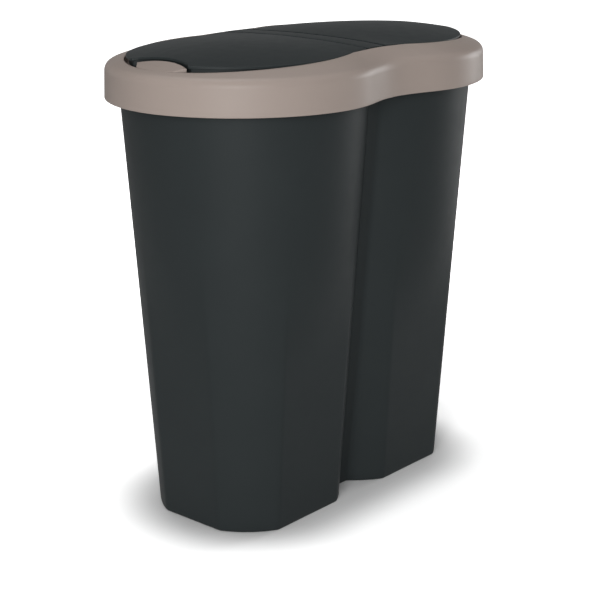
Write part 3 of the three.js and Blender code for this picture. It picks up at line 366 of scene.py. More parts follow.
def wire(path: np.ndarray, radius: float, axis: np.ndarray, sides: int = 14) -> Surface:
    """A round wire along a path.

    At each point the section's first direction is the path's direction crossed with the axis, and its second
    is the path's direction crossed with the first. Points of the section lie at the radius along their mix.

    Args:
        path: array of shape (n, 3).
        radius: of the wire.
        axis: a direction that the path never runs along.
        sides: points round the section.

    Returns:
        The surface, with its faces outwards.
    """
    along = np.gradient(path, axis=0)
    along /= np.linalg.norm(along, axis=1, keepdims=True)
    across = np.cross(along, axis)
    across /= np.linalg.norm(across, axis=1, keepdims=True)
    other = np.cross(along, across)
    angle = np.linspace(0, 2 * np.pi, sides, endpoint=False)
    rings = path[:, None, :] + radius * (
        np.cos(angle)[None, :, None] * across[:, None, :] + np.sin(angle)[None, :, None] * other[:, None, :]
    )
    return lofted(rings, path[0], path[-1])


def smooth_max(a: np.ndarray, b: np.ndarray, blend: float) -> np.ndarray:
    """The larger of two arrays, with the corner between them rounded.

    Where they differ by less than the blend, the larger gains the blend over six times the cube of one minus
    their difference over the blend.

    Args:
        a: first array.
        b: second array.
        blend: difference at which the rounding starts.

    Returns:
        The blended array.
    """
    overlap = np.clip(1 - np.abs(a - b) / blend, 0, 1)
    return np.maximum(a, b) + blend * overlap**3 / 6


def smooth_step(value: np.ndarray, low: float, high: float) -> np.ndarray:
    """0 below low, 1 above high, and three t squared less two t cubed between them."""
    t = np.clip((value - low) / (high - low), 0, 1)
    return t * t * (3 - 2 * t)


# ---------- finishes ----------


def linear(hex_colour: str) -> tuple:
    """An sRGB hex colour as linear red, green, blue and alpha.

    A channel up to 0.04045 is divided by 12.92, and a higher one is raised to 2.4 after 0.055 is added and
    the sum divided by 1.055.

    Args:
        hex_colour: six hex digits after a hash sign.

    Returns:
        Four numbers from 0 to 1.
    """
    channels = np.array([int(hex_colour[k : k + 2], 16) for k in (1, 3, 5)]) / 255
    light = np.where(channels <= 0.04045, channels / 12.92, ((channels + 0.055) / 1.055) ** 2.4)
    return (*light.tolist(), 1.0)


def per_metre(size_mm: float) -> float:
    """Scale of a texture whose features are this many millimetres across."""
    return 1000 / size_mm


def add_node(
    tree: bpy.types.NodeTree, kind: str, sockets: dict, **settings: object
) -> bpy.types.bpy_prop_collection:
    """Adds a node with its settings and links.

    Args:
        tree: the node tree.
        kind: the node's type.
        sockets: input name or number to a value, or to the output socket that feeds it.
        settings: attributes to set on the node.

    Returns:
        The node's outputs.
    """
    made = tree.nodes.new(kind)
    for name, value in settings.items():
        setattr(made, name, value)
    for name, value in sockets.items():
        if isinstance(value, bpy.types.NodeSocket):
            tree.links.new(value, made.inputs[name])
        else:
            made.inputs[name].default_value = value
    return made.outputs


def new_material(name: str) -> tuple:
    """A new empty node material.

    Args:
        name: what the material is called.

    Returns:
        The material, and add_node for its tree.
    """
    material = bpy.data.materials.new(name)
    material.use_nodes = True
    material.node_tree.nodes.clear()
    return material, partial(add_node, material.node_tree)


class Slot(Enum):
    """The record's material slots."""

    GRAPHITE = "graphite_plastic"
    TAUPE = "taupe_plastic"
    STEEL = "steel"
    RUBBER = "rubber"


@dataclass(frozen=True)
class MouldedPolypropylene:
    """Injection-moulded polypropylene with a fine spark-eroded grain, which gives a soft satin sheen.

    The mould's grain is about 0.3 mm and is drawn at 0.9 mm, because finer does not show. Slow melt flow
    leaves faint lighter and darker clouds some 70 mm across.
    """

    name: str
    colour: str
    cloud_colour: str
    roughness: float
    specular: float
    roughness_spread: float = 0.02
    cloud_mm: float = 70.0
    scuff_mm: float = 14.0
    grain_mm: float = 0.9
    grain_height_mm: float = 0.016
    ior: float = 1.49

    def build(self) -> bpy.types.Material:
        """The material's nodes: clouds in the colour, scuffs in the roughness, grain in the bump."""
        material, add = new_material(self.name)
        place = add("ShaderNodeTexCoord", {})["Object"]
        clouds, scuffs, grain = (
            add("ShaderNodeTexNoise", {"Vector": place, "Scale": per_metre(size), "Detail": detail})["Fac"]
            for size, detail in ((self.cloud_mm, 3.0), (self.scuff_mm, 5.0), (self.grain_mm, 2.0))
        )
        colours = {0: clouds, 6: linear(self.colour), 7: linear(self.cloud_colour)}
        tint = add("ShaderNodeMix", colours, data_type="RGBA")[2]
        low, high = self.roughness - self.roughness_spread, self.roughness + self.roughness_spread
        spread = {"Value": scuffs, "From Min": 0.3, "From Max": 0.7, "To Min": low, "To Max": high}
        rough = add("ShaderNodeMapRange", spread)["Result"]
        relief = {"Height": grain, "Distance": self.grain_height_mm * METRES, "Strength": 1.0}
        bump = add("ShaderNodeBump", relief)["Normal"]
        surface = {"Base Color": tint, "Roughness": rough, "Normal": bump}
        surface |= {"IOR": self.ior, "Specular IOR Level": self.specular}
        shader = add("ShaderNodeBsdfPrincipled", surface)
        add("ShaderNodeOutputMaterial", {"Surface": shader["BSDF"]})
        return material


@dataclass(frozen=True)
class ZincPlatedSteel:
    """Drawn and zinc-plated steel: bright, a little blue, duller in patches some 6 mm across.

    Drawing leaves a fine unevenness of about 0.8 mm, which breaks up its shine.
    """

    name: str = "zinc_plated_steel"
    colour: str = "#b9bcbf"
    dull_colour: str = "#9da1a6"
    smoothest: float = 0.24
    roughest: float = 0.38
    patch_mm: float = 6.0
    drawing_mm: float = 0.8

    def build(self) -> bpy.types.Material:
        """The material's nodes: uneven plating in the colour and in the roughness."""
        material, add = new_material(self.name)
        place = add("ShaderNodeTexCoord", {})["Object"]
        patches, drawing = (
            add("ShaderNodeTexNoise", {"Vector": place, "Scale": per_metre(size), "Detail": detail})["Fac"]
            for size, detail in ((self.patch_mm, 4.0), (self.drawing_mm, 2.0))
        )
        colours = {0: patches, 6: linear(self.colour), 7: linear(self.dull_colour)}
        tint = add("ShaderNodeMix", colours, data_type="RGBA")[2]
        spread = {"Value": drawing, "To Min": self.smoothest, "To Max": self.roughest}
        rough = add("ShaderNodeMapRange", spread)["Result"]
        shader = add("ShaderNodeBsdfPrincipled", {"Base Color": tint, "Roughness": rough, "Metallic": 1.0})
        add("ShaderNodeOutputMaterial", {"Surface": shader["BSDF"]})
        return material


@dataclass(frozen=True)
class MouldedRubber:
    """Soft black moulded rubber: matt, with a dusty bloom that lightens it in patches some 3 mm across.

    Moulding leaves pits of about 0.5 mm, which keep its highlights dull.
    """

    name: str = "moulded_rubber"
    colour: str = "#1d1e1f"
    bloom_colour: str = "#2a2b2b"
    roughness: float = 0.85
    specular: float = 0.3
    bloom_mm: float = 3.0
    pit_mm: float = 0.5
    pit_depth_mm: float = 0.02
    ior: float = 1.52

    def build(self) -> bpy.types.Material:
        """The material's nodes: bloom in the colour and a fine pitted bump."""
        material, add = new_material(self.name)
        place = add("ShaderNodeTexCoord", {})["Object"]
        bloom, pits = (
            add("ShaderNodeTexNoise", {"Vector": place, "Scale": per_metre(size), "Detail": detail})["Fac"]
            for size, detail in ((self.bloom_mm, 4.0), (self.pit_mm, 2.0))
        )
        colours = {0: bloom, 6: linear(self.colour), 7: linear(self.bloom_colour)}
        tint = add("ShaderNodeMix", colours, data_type="RGBA")[2]
        relief = {"Height": pits, "Distance": self.pit_depth_mm * METRES, "Strength": 1.0}
        bump = add("ShaderNodeBump", relief)["Normal"]
        surface = {"Base Color": tint, "Roughness": self.roughness, "Normal": bump}
        surface |= {"IOR": self.ior, "Specular IOR Level": self.specular}
        shader = add("ShaderNodeBsdfPrincipled", surface)
        add("ShaderNodeOutputMaterial", {"Surface": shader["BSDF"]})
        return material


@dataclass
class Finishes:
    """Every finish on the bin, built once and shared."""

    made: dict = field(default_factory=dict)

    def build(self) -> "Finishes":
        """Builds one material for each slot."""
        moulded = (
            (Slot.GRAPHITE, "graphite", "#292e2f", "#2d3233", 0.46, 0.15),
            (Slot.TAUPE, "taupe", "#9f928b", "#a4978f", 0.42, 0.24),
        )
        for slot, name, *look in moulded:
            self.made[slot] = MouldedPolypropylene(f"moulded_polypropylene_{name}", *look).build()
        self.made[Slot.STEEL] = ZincPlatedSteel().build()
        self.made[Slot.RUBBER] = MouldedRubber().build()
        return self

    def dress_cad(self, node_name: str, slot: Slot) -> None:
        """Gives a CAD node the finish of a slot."""
        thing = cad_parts[node_name]
        for place in thing.material_slots:
            place.material = self.made[slot]
        if not thing.material_slots:
            thing.data.materials.append(self.made[slot])


# ---------- pieces ----------


def new_object(name: str, data: bpy.types.ID) -> bpy.types.Object:
    """A new object in the scene.

    Args:
        name: what the object is called.
        data: its mesh, lamp or camera.

    Returns:
        The object.
    """
    made = bpy.data.objects.new(name, data)
    bpy.context.scene.collection.objects.link(made)
    return made


@dataclass
class Maker:
    """Turns surfaces into named pieces that ride on a body."""

    finishes: Finishes

    def piece(
        self, name: str, surface: Surface, slot: Slot, body: str, nodes: tuple
    ) -> bpy.types.Object:
        """Makes one piece.

        Args:
            name: what the piece is called.
            surface: its shape, in millimetres.
            slot: its finish.
            body: the body that it moves with.
            nodes: CAD nodes that it stands for.

        Returns:
            The object, at the origin.
        """
        mesh = bpy.data.meshes.new(name)
        mesh.from_pydata((surface.points * METRES).tolist(), [], surface.faces)
        mesh.update()
        mesh.shade_smooth()
        mesh.set_sharp_from_angle(angle=math.radians(SHARP_DEGREES))
        made = new_object(name, mesh)
        mesh.materials.append(self.finishes.made[slot])
        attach(made, body)
        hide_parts(*nodes)
        log.info("%s: %d points on %s", name, len(surface.points), body)
        return made


# ---------- outlines ----------


def mirrored_quarter(quarter: np.ndarray) -> np.ndarray:
    """A whole figure-of-eight outline from one quarter.

    Args:
        quarter: (x, y) points from the end of the long axis round to x = 0, shape (n, 2).

    Returns:
        The outline, counterclockwise, with no point twice.
    """
    back = quarter[:-1][::-1] * [-1, 1]
    front_left = quarter[1:] * [-1, -1]
    front_right = quarter[1:-1][::-1] * [1, -1]
    return np.vstack([quarter, back, front_left, front_right])


def lobe_half_width(x: np.ndarray, length_radius: float, width_radius: float, blend: float) -> np.ndarray:
    """Half width of two superellipse lobes that flow together at the waist.

    A lobe's reach is its width radius times the root of one less the power of the distance from its centre
    over its length radius. The near lobe is blended with the far one where the far one has any reach.

    Args:
        x: distances along the bin, or one distance.
        length_radius: of a lobe, along X.
        width_radius: of a lobe, along Y.
        blend: width of the flow at the waist.

    Returns:
        Half widths, one for each x.
    """

    def reach(centre: float) -> np.ndarray:
        """Reach of the lobe at this centre."""
        share = np.minimum(np.abs(x - centre) / length_radius, 1)
        return width_radius * (1 - share**ROUNDNESS) ** (1 / ROUNDNESS)

    near, far = reach(LOBE_X), reach(-LOBE_X)
    overlap = np.where(far > 0, np.clip(1 - np.abs(near - far) / blend, 0, 1), 0)
    return np.maximum(near, far) + blend * overlap**3 / 6


def lobe_end(length_radius: float, width_radius: float, count: int) -> np.ndarray:
    """A quarter of the right lobe, from its tip to its widest point.

    The angle runs in even steps: x is the lobe's centre plus the length radius times the cosine to the power
    two over the roundness, and y is the width radius times the sine to that power.

    Args:
        length_radius: of the lobe, along X.
        width_radius: of the lobe, along Y.
        count: number of points.

    Returns:
        Array of shape (count, 2).
    """
    angle = np.linspace(0, np.pi / 2, count)
    power = 2 / ROUNDNESS
    x = LOBE_X + length_radius * np.cos(angle) ** power
    return np.column_stack([x, width_radius * np.sin(angle) ** power])


def lobe_outline(length_radius: float, width_radius: float, blend: float) -> np.ndarray:
    """Outline of two blended lobes, with the same number of points whatever its size.

    Args:
        length_radius: of a lobe, along X.
        width_radius: of a lobe, along Y.
        blend: width of the flow at the waist.

    Returns:
        Array of shape (n, 2), counterclockwise from the right end.
    """
    x = np.linspace(LOBE_X, 0, 41)[1:]
    waist = np.column_stack([x, lobe_half_width(x, length_radius, width_radius, blend)])
    return mirrored_quarter(np.vstack([lobe_end(length_radius, width_radius, 61), waist]))


# ---------- the bin ----------


@dataclass(frozen=True)
class Tub:
    """The moulded tub: two tapering chambers joined by a narrow web, with flats on their lower half."""

    height: float = 480.0
    wall: float = 2.5
    floor: float = 4.5
    base_radius: float = 99.5
    rim_radius: float = 130.8
    web_half_width: float = 10.0
    web_fillet: float = 5.0
    end_flat: float = 8.2
    side_flat: float = 12.5
    flat_edge: float = 1.6
    fade_low: float = 150.0
    fade_high: float = 330.0
    rounding: float = 3.0
    lip_radius: float = 140.0
    lip_drop: float = 14.0
    lip_wall: float = 2.0
    outside_start: float = 1.0  # from the base's round edge to the wall's next ring
    outside_rings: int = 96
    inside_start: float = 4.0  # from the rim down to the first ring inside
    inside_end: float = 1.0  # from the last ring inside to the floor's round corner
    inside_rings: int = 72
    mouth_edge: tuple = ((0.8, 0.0), (0.2, 0.3), (0.0, 1.0))  # off the inner face, and down from the rim
    foot_width: float = 12.0
    foot_height: float = 2.0
    foot_edge: float = 0.6
    join_x: float = 30.0
    rib_width: float = 2.5
    rib_depth: float = 6.0
    rib_top: float = 462.0
    rib_point: float = 1.0
    divider_thickness: float = 3.0

    def cone(self, z: float) -> float:
        """Outside radius of a chamber at a height."""
        return self.base_radius + (self.rim_radius - self.base_radius) * z / self.height

    def web_y(self, z: float) -> float:
        """Distance of the web's outer face from the middle at a height."""
        return math.sqrt(self.cone(z) ** 2 - (LOBE_X - self.web_half_width) ** 2)

    def outline(self, z: float, grow: float) -> np.ndarray:
        """The tub's outline at a height.

        Round a chamber the radius is the rounded smaller of the cone's and the flats', which is the distance
        to the flat over the cosine of the angle from its normal. The flats fade out with height. Beside the
        web, y is the rounded larger of the chamber's circle and the web's face.

        Args:
            z: height whose cone is used.
            grow: how far outside the wall's outer face the outline lies.

        Returns:
            Array of shape (n, 2), counterclockwise.
        """
        cone = self.cone(z)
        last = math.acos((self.join_x - LOBE_X) / (cone + grow))
        angle = np.linspace(0, last, 121)
        to_end = (cone - self.end_flat) / np.maximum(np.cos(angle), TINY)
        to_side = (cone - self.side_flat) / np.maximum(np.sin(angle), TINY)
        flat = np.minimum(to_end, to_side)
        reach = -smooth_max(-flat, np.full_like(angle, -cone), self.flat_edge)
        fade = 1 - float(smooth_step(np.array(z), self.fade_low, self.fade_high))
        radius = cone - fade * (cone - reach) + grow
        chamber = np.column_stack([LOBE_X + radius * np.cos(angle), radius * np.sin(angle)])
        x = np.linspace(self.join_x, 0, 41)[1:]
        circle_y = np.sqrt(np.maximum((cone + grow) ** 2 - (LOBE_X - x) ** 2, 0))
        face_y = np.full_like(x, self.web_y(z) + grow)
        web = np.column_stack([x, smooth_max(circle_y, face_y, self.web_fillet)])
        return mirrored_quarter(np.vstack([chamber, web]))

    def section(self) -> list:
        """The wall's section from the foot's inner edge, out, up, over the rim and down inside.

        Returns:
            (grow, height, height of the cone) for each ring.
        """
        turn = [(math.sin(a), math.cos(a)) for a in np.linspace(0, np.pi / 2, 7)]
        top, wall, edge = self.height, self.lip_wall, self.rounding
        bottom, lip = top - self.lip_drop, self.lip_radius - self.rim_radius
        inner = lip - wall
        base = [(edge * (sine - 1), edge * (1 - cosine), 0.0) for sine, cosine in turn]
        levels = np.linspace(edge + self.outside_start, top - self.wall, self.outside_rings)
        outside = [(0.0, z, z) for z in levels]
        under = [(inner, top - self.wall), (inner, bottom + TRIM), (inner + TRIM, bottom)]
        under += [(lip - TRIM, bottom), (lip, bottom + TRIM)]
        over = [(inner + wall * cosine, top - wall * (1 - sine)) for sine, cosine in turn]
        mouth = [(out - self.wall, top - down) for out, down in self.mouth_edge]
        rim = [(grow, z, top) for grow, z in under + over + mouth]
        last = self.floor + edge + self.inside_end
        levels = np.linspace(top - self.inside_start, last, self.inside_rings)
        inside = [(-self.wall, z, z) for z in levels]
        floor_turn = [
            (edge * (cosine - 1) - self.wall, self.floor + edge * (1 - sine), self.floor)
            for sine, cosine in turn
        ]
        return base + outside + rim + inside + floor_turn

    def shell(self) -> Surface:
        """The wall, floor and foot as one closed surface.

        Each ring is the outline at a height. Under the base and on the floor the last outline shrinks to the
        middle in proportion.

        Returns:
            The surface.
        """
        walls = [ring_at(self.outline(cone, grow), z) for grow, z, cone in self.section()]
        foot = [
            ring_at(inset(self.outline(0, -self.foot_width), step), z)
            for step, z in (
                (self.foot_edge, self.foot_height),
                (0.0, self.foot_height - self.foot_edge),
                (0.0, 0.0),
            )
        ]
        shrink = np.linspace(0.1, 0.95, 10)
        under = [foot[0] * [s, s, 1] for s in shrink]
        over = [walls[-1] * [s, s, 1] for s in shrink[::-1]]
        rings = np.array([*under, *foot, *walls, *over])
        return lofted(rings, np.array([0, 0, self.foot_height]), np.array([0, 0, self.floor]))

    def cross_foot(self) -> Surface:
        """The flat bar across the middle of the underside."""
        outline = rectangle(self.foot_width / 2, self.web_y(0) - self.foot_width + OVERLAP)
        return plate(outline, 0.0, self.foot_height + OVERLAP)

    def guide_rib(self, side: int, face: int) -> Surface:
        """One rib that the divider slides behind.

        The rib's section is a rectangle whose inner edge lies the rib's depth off the web's inner face, at
        every height.

        Args:
            side: 1 or -1, which side of the divider.
            face: 1 at the back web, -1 at the front.

        Returns:
            The surface.
        """
        levels = np.linspace(self.floor - OVERLAP, self.rib_top, 40)
        x0 = self.divider_thickness / 2 + CLEARANCE
        x1 = x0 + self.rib_width
        rings = []
        for z in levels:
            wall_y = self.web_y(z) - self.wall
            trim = TRIM if z < levels[-1] else self.rib_point
            near, far = wall_y - self.rib_depth, wall_y + self.wall / 2
            section = [[x0, far], [x0, near + trim], [x0 + trim, near]]
            section += [[x1 - trim, near], [x1, near + trim], [x1, far]]
            rings.append(ring_at(np.array(section) * [side, face], z))
        return lofted(np.array(rings))

    def build(self, maker: Maker) -> None:
        """Makes the tub and dresses the divider that stands in it."""
        ribs = [self.guide_rib(side, face) for side, face in CORNERS]
        whole = joined(self.shell(), self.cross_foot(), *ribs)
        maker.piece("tub_moulding", whole, Slot.GRAPHITE, "container", ("tub",))
        maker.finishes.dress_cad("divider_panel", Slot.GRAPHITE)


@dataclass(frozen=True)
class Collar:
    """The taupe frame over the tub's rim, with the shelves, guides and bosses inside it."""

    length_radius: float = 147.4
    width_radius: float = 145.7
    blend: float = 99.0
    bottom: float = 452.0
    wall: float = 2.5
    draft: float = 1.0
    shoulder_low: float = 479.0
    shoulder_high: float = 487.0
    shoulder_width: float = 9.0
    band_depth: float = 1.16  # height down through the sloping band, over the wall
    opening_length: float = 132.0
    opening_width: float = 115.0
    opening_blend: float = 137.0
    opening_height: float = 501.2
    opening_drop: float = 9.5
    drop_power: float = 1.38
    edge_round: float = 1.1
    hem_round: float = 0.8
    ledge_width: float = 8.0
    ledge_top: float = 485.3
    ledge_thickness: float = 2.5
    ledge_fillet: float = 1.0
    seat_fillet: float = 0.6
    corner_rise: float = 1.0
    seat_inset: float = 8.0
    seat_width: float = 2.0
    seat: float = 480.3
    button_shelf_x: float = 184.0
    button_shelf_half: float = 41.0
    bridge_shelf_half: float = 34.0
    bridge_shelf_y: float = 85.0
    stem_x: float = 209.0
    stem_bore: float = 4.2
    guide_radius: float = 6.2
    guide_bottom: float = 472.7
    slot_end: float = 199.2
    latch_x: float = 192.0
    latch_z: float = 470.0
    cheek_inner: float = 5.6
    cheek_thickness: float = 2.5
    cheek_half: float = 3.5
    screw_x: float = 20.0
    screw_y: float = 91.5
    boss_radius: float = 3.8
    boss_height: float = 2.7
    boss_edge: tuple = ((0.0, 0.6), (0.2, 0.15), (0.6, 0.0))  # how far in and down its top edge turns

    def edge_height(self, x: np.ndarray) -> np.ndarray:
        """Height of the opening's edge: its height at the waist less a drop that grows with a power of x."""
        reach = LOBE_X + self.opening_length
        return self.opening_height - self.opening_drop * (np.abs(x) / reach) ** self.drop_power

    def sections(self, band: np.ndarray, edge: np.ndarray) -> np.ndarray:
        """The collar's section at every station.

        The skirt leans in by the draft, a quadratic curve carries the shoulder over onto the band, and the
        band runs straight up to the opening's edge, which is turned over by a quarter round.

        Args:
            band: distance from the outline to the opening, per station.
            edge: height of the opening's edge, per station.

        Returns:
            Array of shape (points, stations, 2) of inset and height.
        """
        slope = (edge - self.shoulder_high) / (band - self.draft)

        def at_band(offset: np.ndarray) -> np.ndarray:
            """Height of the band at an inset."""
            return self.shoulder_high + slope * (offset - self.draft)

        def under(offset: np.ndarray) -> np.ndarray:
            """Height of the band's underside at an inset."""
            return at_band(offset) - self.wall * self.band_depth

        hem, edge_round, width = self.hem_round, self.edge_round, self.shoulder_width
        rise, start = self.shoulder_low - self.bottom, band - edge_round
        points = [
            (hem * (1 - math.sin(a)), self.bottom + hem * (1 - math.cos(a)))
            for a in np.linspace(0, np.pi / 2, 6)
        ]
        points += [(self.draft * share, self.bottom + rise * share) for share in np.linspace(0.15, 1, 8)]
        for t in np.linspace(0, 1, 19)[1:]:
            s = 1 - t
            height = s * s * self.shoulder_low + 2 * s * t * self.shoulder_high + t * t * at_band(width)
            points.append(((s * s + 2 * s * t) * self.draft + t * t * width, height))
        for share in np.linspace(0, 1, 7)[1:]:
            offset = width + (start - width) * share
            points.append((offset, at_band(offset)))
        for a in np.linspace(0, np.pi / 2, 7)[1:]:
            drop = edge_round * (1 - math.cos(a))
            points.append((start + edge_round * math.sin(a), at_band(start) - drop))
        ledge_end, inner = band + self.ledge_width, band - self.wall
        top, fillet = self.ledge_top, self.ledge_fillet
        ledge_low = top - self.ledge_thickness
        rib_out, rib_in = self.seat_inset, self.seat_inset + self.seat_width
        points += [
            (band, top + fillet),
            (band + fillet * FILLET_MIDDLE, top + fillet * FILLET_MIDDLE),
            (band + fillet, top),
            (ledge_end - TRIM, top),
            (ledge_end, top - TRIM),
            (ledge_end, ledge_low),
            (inner, ledge_low),
            (inner, under(inner)),
            (rib_in, under(rib_in)),
            (rib_in, self.seat),
            (rib_out, self.seat),
            (rib_out, under(rib_out) - self.seat_fillet),
            (self.draft + self.wall, self.shoulder_low + self.corner_rise),
            (self.wall, self.bottom + TRIM),
            (self.wall - TRIM, self.bottom),
        ]
        stations = [np.broadcast_arrays(offset, height, band)[:2] for offset, height in points]
        return np.array(stations).transpose(0, 2, 1)

    def shell(self) -> Surface:
        """The collar's ring: each station's section stands on the line from the outline to the opening."""
        outline = lobe_outline(self.length_radius, self.width_radius, self.blend)
        opening = lobe_outline(self.opening_length, self.opening_width, self.opening_blend)
        across = opening - outline
        band = np.linalg.norm(across, axis=1)
        inwards = across / band[:, None]
        sections = self.sections(band, self.edge_height(opening[:, 0]))
        flat = outline[None] + inwards[None] * sections[:, :, :1]
        return lofted(np.concatenate([flat, sections[:, :, 1:]], axis=2), tube=True)

    def shelf_outline(self, x0: float, x1: float, y0: float, y1: float) -> np.ndarray:
        """The part of the opening's area, grown half a wall, between these bounds.

        The rectangle's far side bends to the opening's outline: y is the smaller of the bound and the half
        width at x.

        Args:
            x0: lowest x.
            x1: highest x.
            y0: lowest y.
            y1: highest y.

        Returns:
            Array of shape (n, 2), counterclockwise.
        """
        grow = self.wall / 2
        x = np.linspace(x0, x1, 81)
        length, width = self.opening_length + grow, self.opening_width + grow
        half = lobe_half_width(x, length, width, self.opening_blend)
        upper = np.column_stack([x, np.minimum(half, y1)])
        lower = np.column_stack([x, np.maximum(-half, y0)])
        return np.vstack([lower, upper[::-1]])

    def stem_hole(self) -> tuple:
        """The bore for a button's stem, as the holes of a plate."""
        return (circle(self.stem_bore, self.stem_x, 0),)

    def button_shelf(self) -> Surface:
        """The shelf under a button, with the bore for its stem and a notch for the latch."""
        apart, short = 0.01, 0.05  # off the point before, and off the tip, where the half width ends
        half, notch = self.button_shelf_half, self.cheek_inner
        far = LOBE_X + self.opening_length + self.wall / 2
        reach = self.shelf_outline(self.slot_end + apart, far - short, -half, half)
        side_x = self.button_shelf_x
        inner = np.array([[self.slot_end, -notch], [side_x, -notch], [side_x, -half]])
        outline = np.vstack([inner, reach, inner[::-1] * [1, -1]])
        return plate(outline, self.ledge_top - self.ledge_thickness, self.ledge_top, self.stem_hole())

    def bridge_shelf(self, face: int) -> Surface:
        """The shelf over one end of the bridge: face is 1 at the back and -1 at the front."""
        half = self.bridge_shelf_half
        y0, y1 = sorted((face * self.bridge_shelf_y, face * FAR))
        outline = self.shelf_outline(-half, half, y0, y1)
        return plate(outline, self.ledge_top - self.ledge_thickness, self.ledge_top)

    def shelf_middle(self) -> float:
        """Height of the middle of the shelves' thickness, where what hangs on them starts."""
        return self.ledge_top - self.ledge_thickness / 2

    def guide(self) -> Surface:
        """The tube under the button's shelf that guides its stem."""
        outline = circle(self.guide_radius, self.stem_x, 0)
        return plate(outline, self.guide_bottom, self.shelf_middle(), self.stem_hole())

    def cheek(self, face: int) -> Surface:
        """One of the two ears that carry the latch's pin, with a rounded lower end."""
        y0, y1 = sorted((face * self.cheek_inner, face * (self.cheek_inner + self.cheek_thickness)))
        return rounded_bar((self.latch_x, self.latch_z), self.cheek_half, self.shelf_middle(), y0, y1, 21)

    def boss(self, x: float, y: float) -> Surface:
        """One round boss over a screw, with a turned-over top edge."""
        low, high, radius = self.shelf_middle(), self.ledge_top + self.boss_height, self.boss_radius
        edge = [(radius - into, high - down) for into, down in self.boss_edge]
        return turned([(0, low), (radius, low), *edge, (0, high)]).moved(x, y)

    def build(self, maker: Maker) -> None:
        """Makes the collar."""
        end = [self.button_shelf(), self.guide(), self.cheek(1), self.cheek(-1)]
        shelves = [self.bridge_shelf(1), self.bridge_shelf(-1)]
        bosses = [self.boss(sx * self.screw_x, sy * self.screw_y) for sx, sy in CORNERS]
        whole = joined(self.shell(), *end, *[part.mirrored() for part in end], *shelves, *bosses)
        maker.piece("collar_moulding", whole, Slot.TAUPE, "lid_frame_unit", ("lid_frame",))


@dataclass(frozen=True)
class LidShape:
    """The domed top that the lids and the bridge between them share."""

    length_radius: float = 130.4
    width_radius: float = 113.4
    blend: float = 137.0
    inner_x: float = 16.5
    edge_height: float = 501.9
    edge_low: float = 497.2
    edge_low_x: float = 160.0
    crown_waist: float = 1.4
    crown_lobe: float = 8.39
    crown_tip: float = 0.8

    def half_width(self, x: np.ndarray) -> np.ndarray:
        """Half width of the lids at x."""
        return lobe_half_width(x, self.length_radius, self.width_radius, self.blend)

    def top(self, x: np.ndarray, y: np.ndarray) -> np.ndarray:
        """Height of the domed top.

        The edge's height is a parabola along the bin that is lowest towards the tip. The crown over it is
        another parabola through its values at the waist, halfway along and at the tip, and falls off with
        the square of y over the half width.

        Args:
            x: distances along the bin from the middle, or one distance.
            y: distances across it, or one distance.

        Returns:
            Heights, one for each point.
        """
        along = x / (LOBE_X + self.length_radius)
        crown = self.crown_waist * (1 - along) * (1 - 2 * along)
        crown = crown + self.crown_lobe * 4 * along * (1 - along)
        crown = crown + self.crown_tip * along * (2 * along - 1)
        half = np.maximum(self.half_width(x), TINY)
        across = np.minimum(np.abs(y) / half, 1)
        edge = self.edge_low + (self.edge_height - self.edge_low) * (x / self.edge_low_x - 1) ** 2
        return edge + crown * (1 - across**2)


@dataclass(frozen=True)
class ButtonShape:
    """Plan and face of a push button, which the lid's notch follows."""

    inner_x: float = 200.0
    arc_radius: float = 84.7
    half_width: float = 34.8
    corner_slope: float = 1.08
    height: float = 497.9
    slope: float = 0.31
    crown: float = 1.0
    edge_gap: float = 0.5
    notch_gap: float = 1.2
    notch_splay: float = 0.65

    def arc(self, grow: float) -> np.ndarray:
        """Points of the inner arc, grown towards the lid, from front to back.

        x is the arc's centre less the root of the radius squared less y squared.

        Args:
            grow: how far outside the button the arc lies.

        Returns:
            Array of shape (81, 2).
        """
        radius = self.arc_radius + grow
        y = np.linspace(-1, 1, 81) * (self.half_width + grow)
        return np.column_stack([self.inner_x + self.arc_radius - np.sqrt(radius**2 - y**2), y])

    def face(self, x: np.ndarray, y: np.ndarray) -> np.ndarray:
        """Height of the face, which falls outwards and, with the square of y, towards its corners."""
        return self.height - self.slope * (x - self.inner_x) - self.crown * (y / self.half_width) ** 2


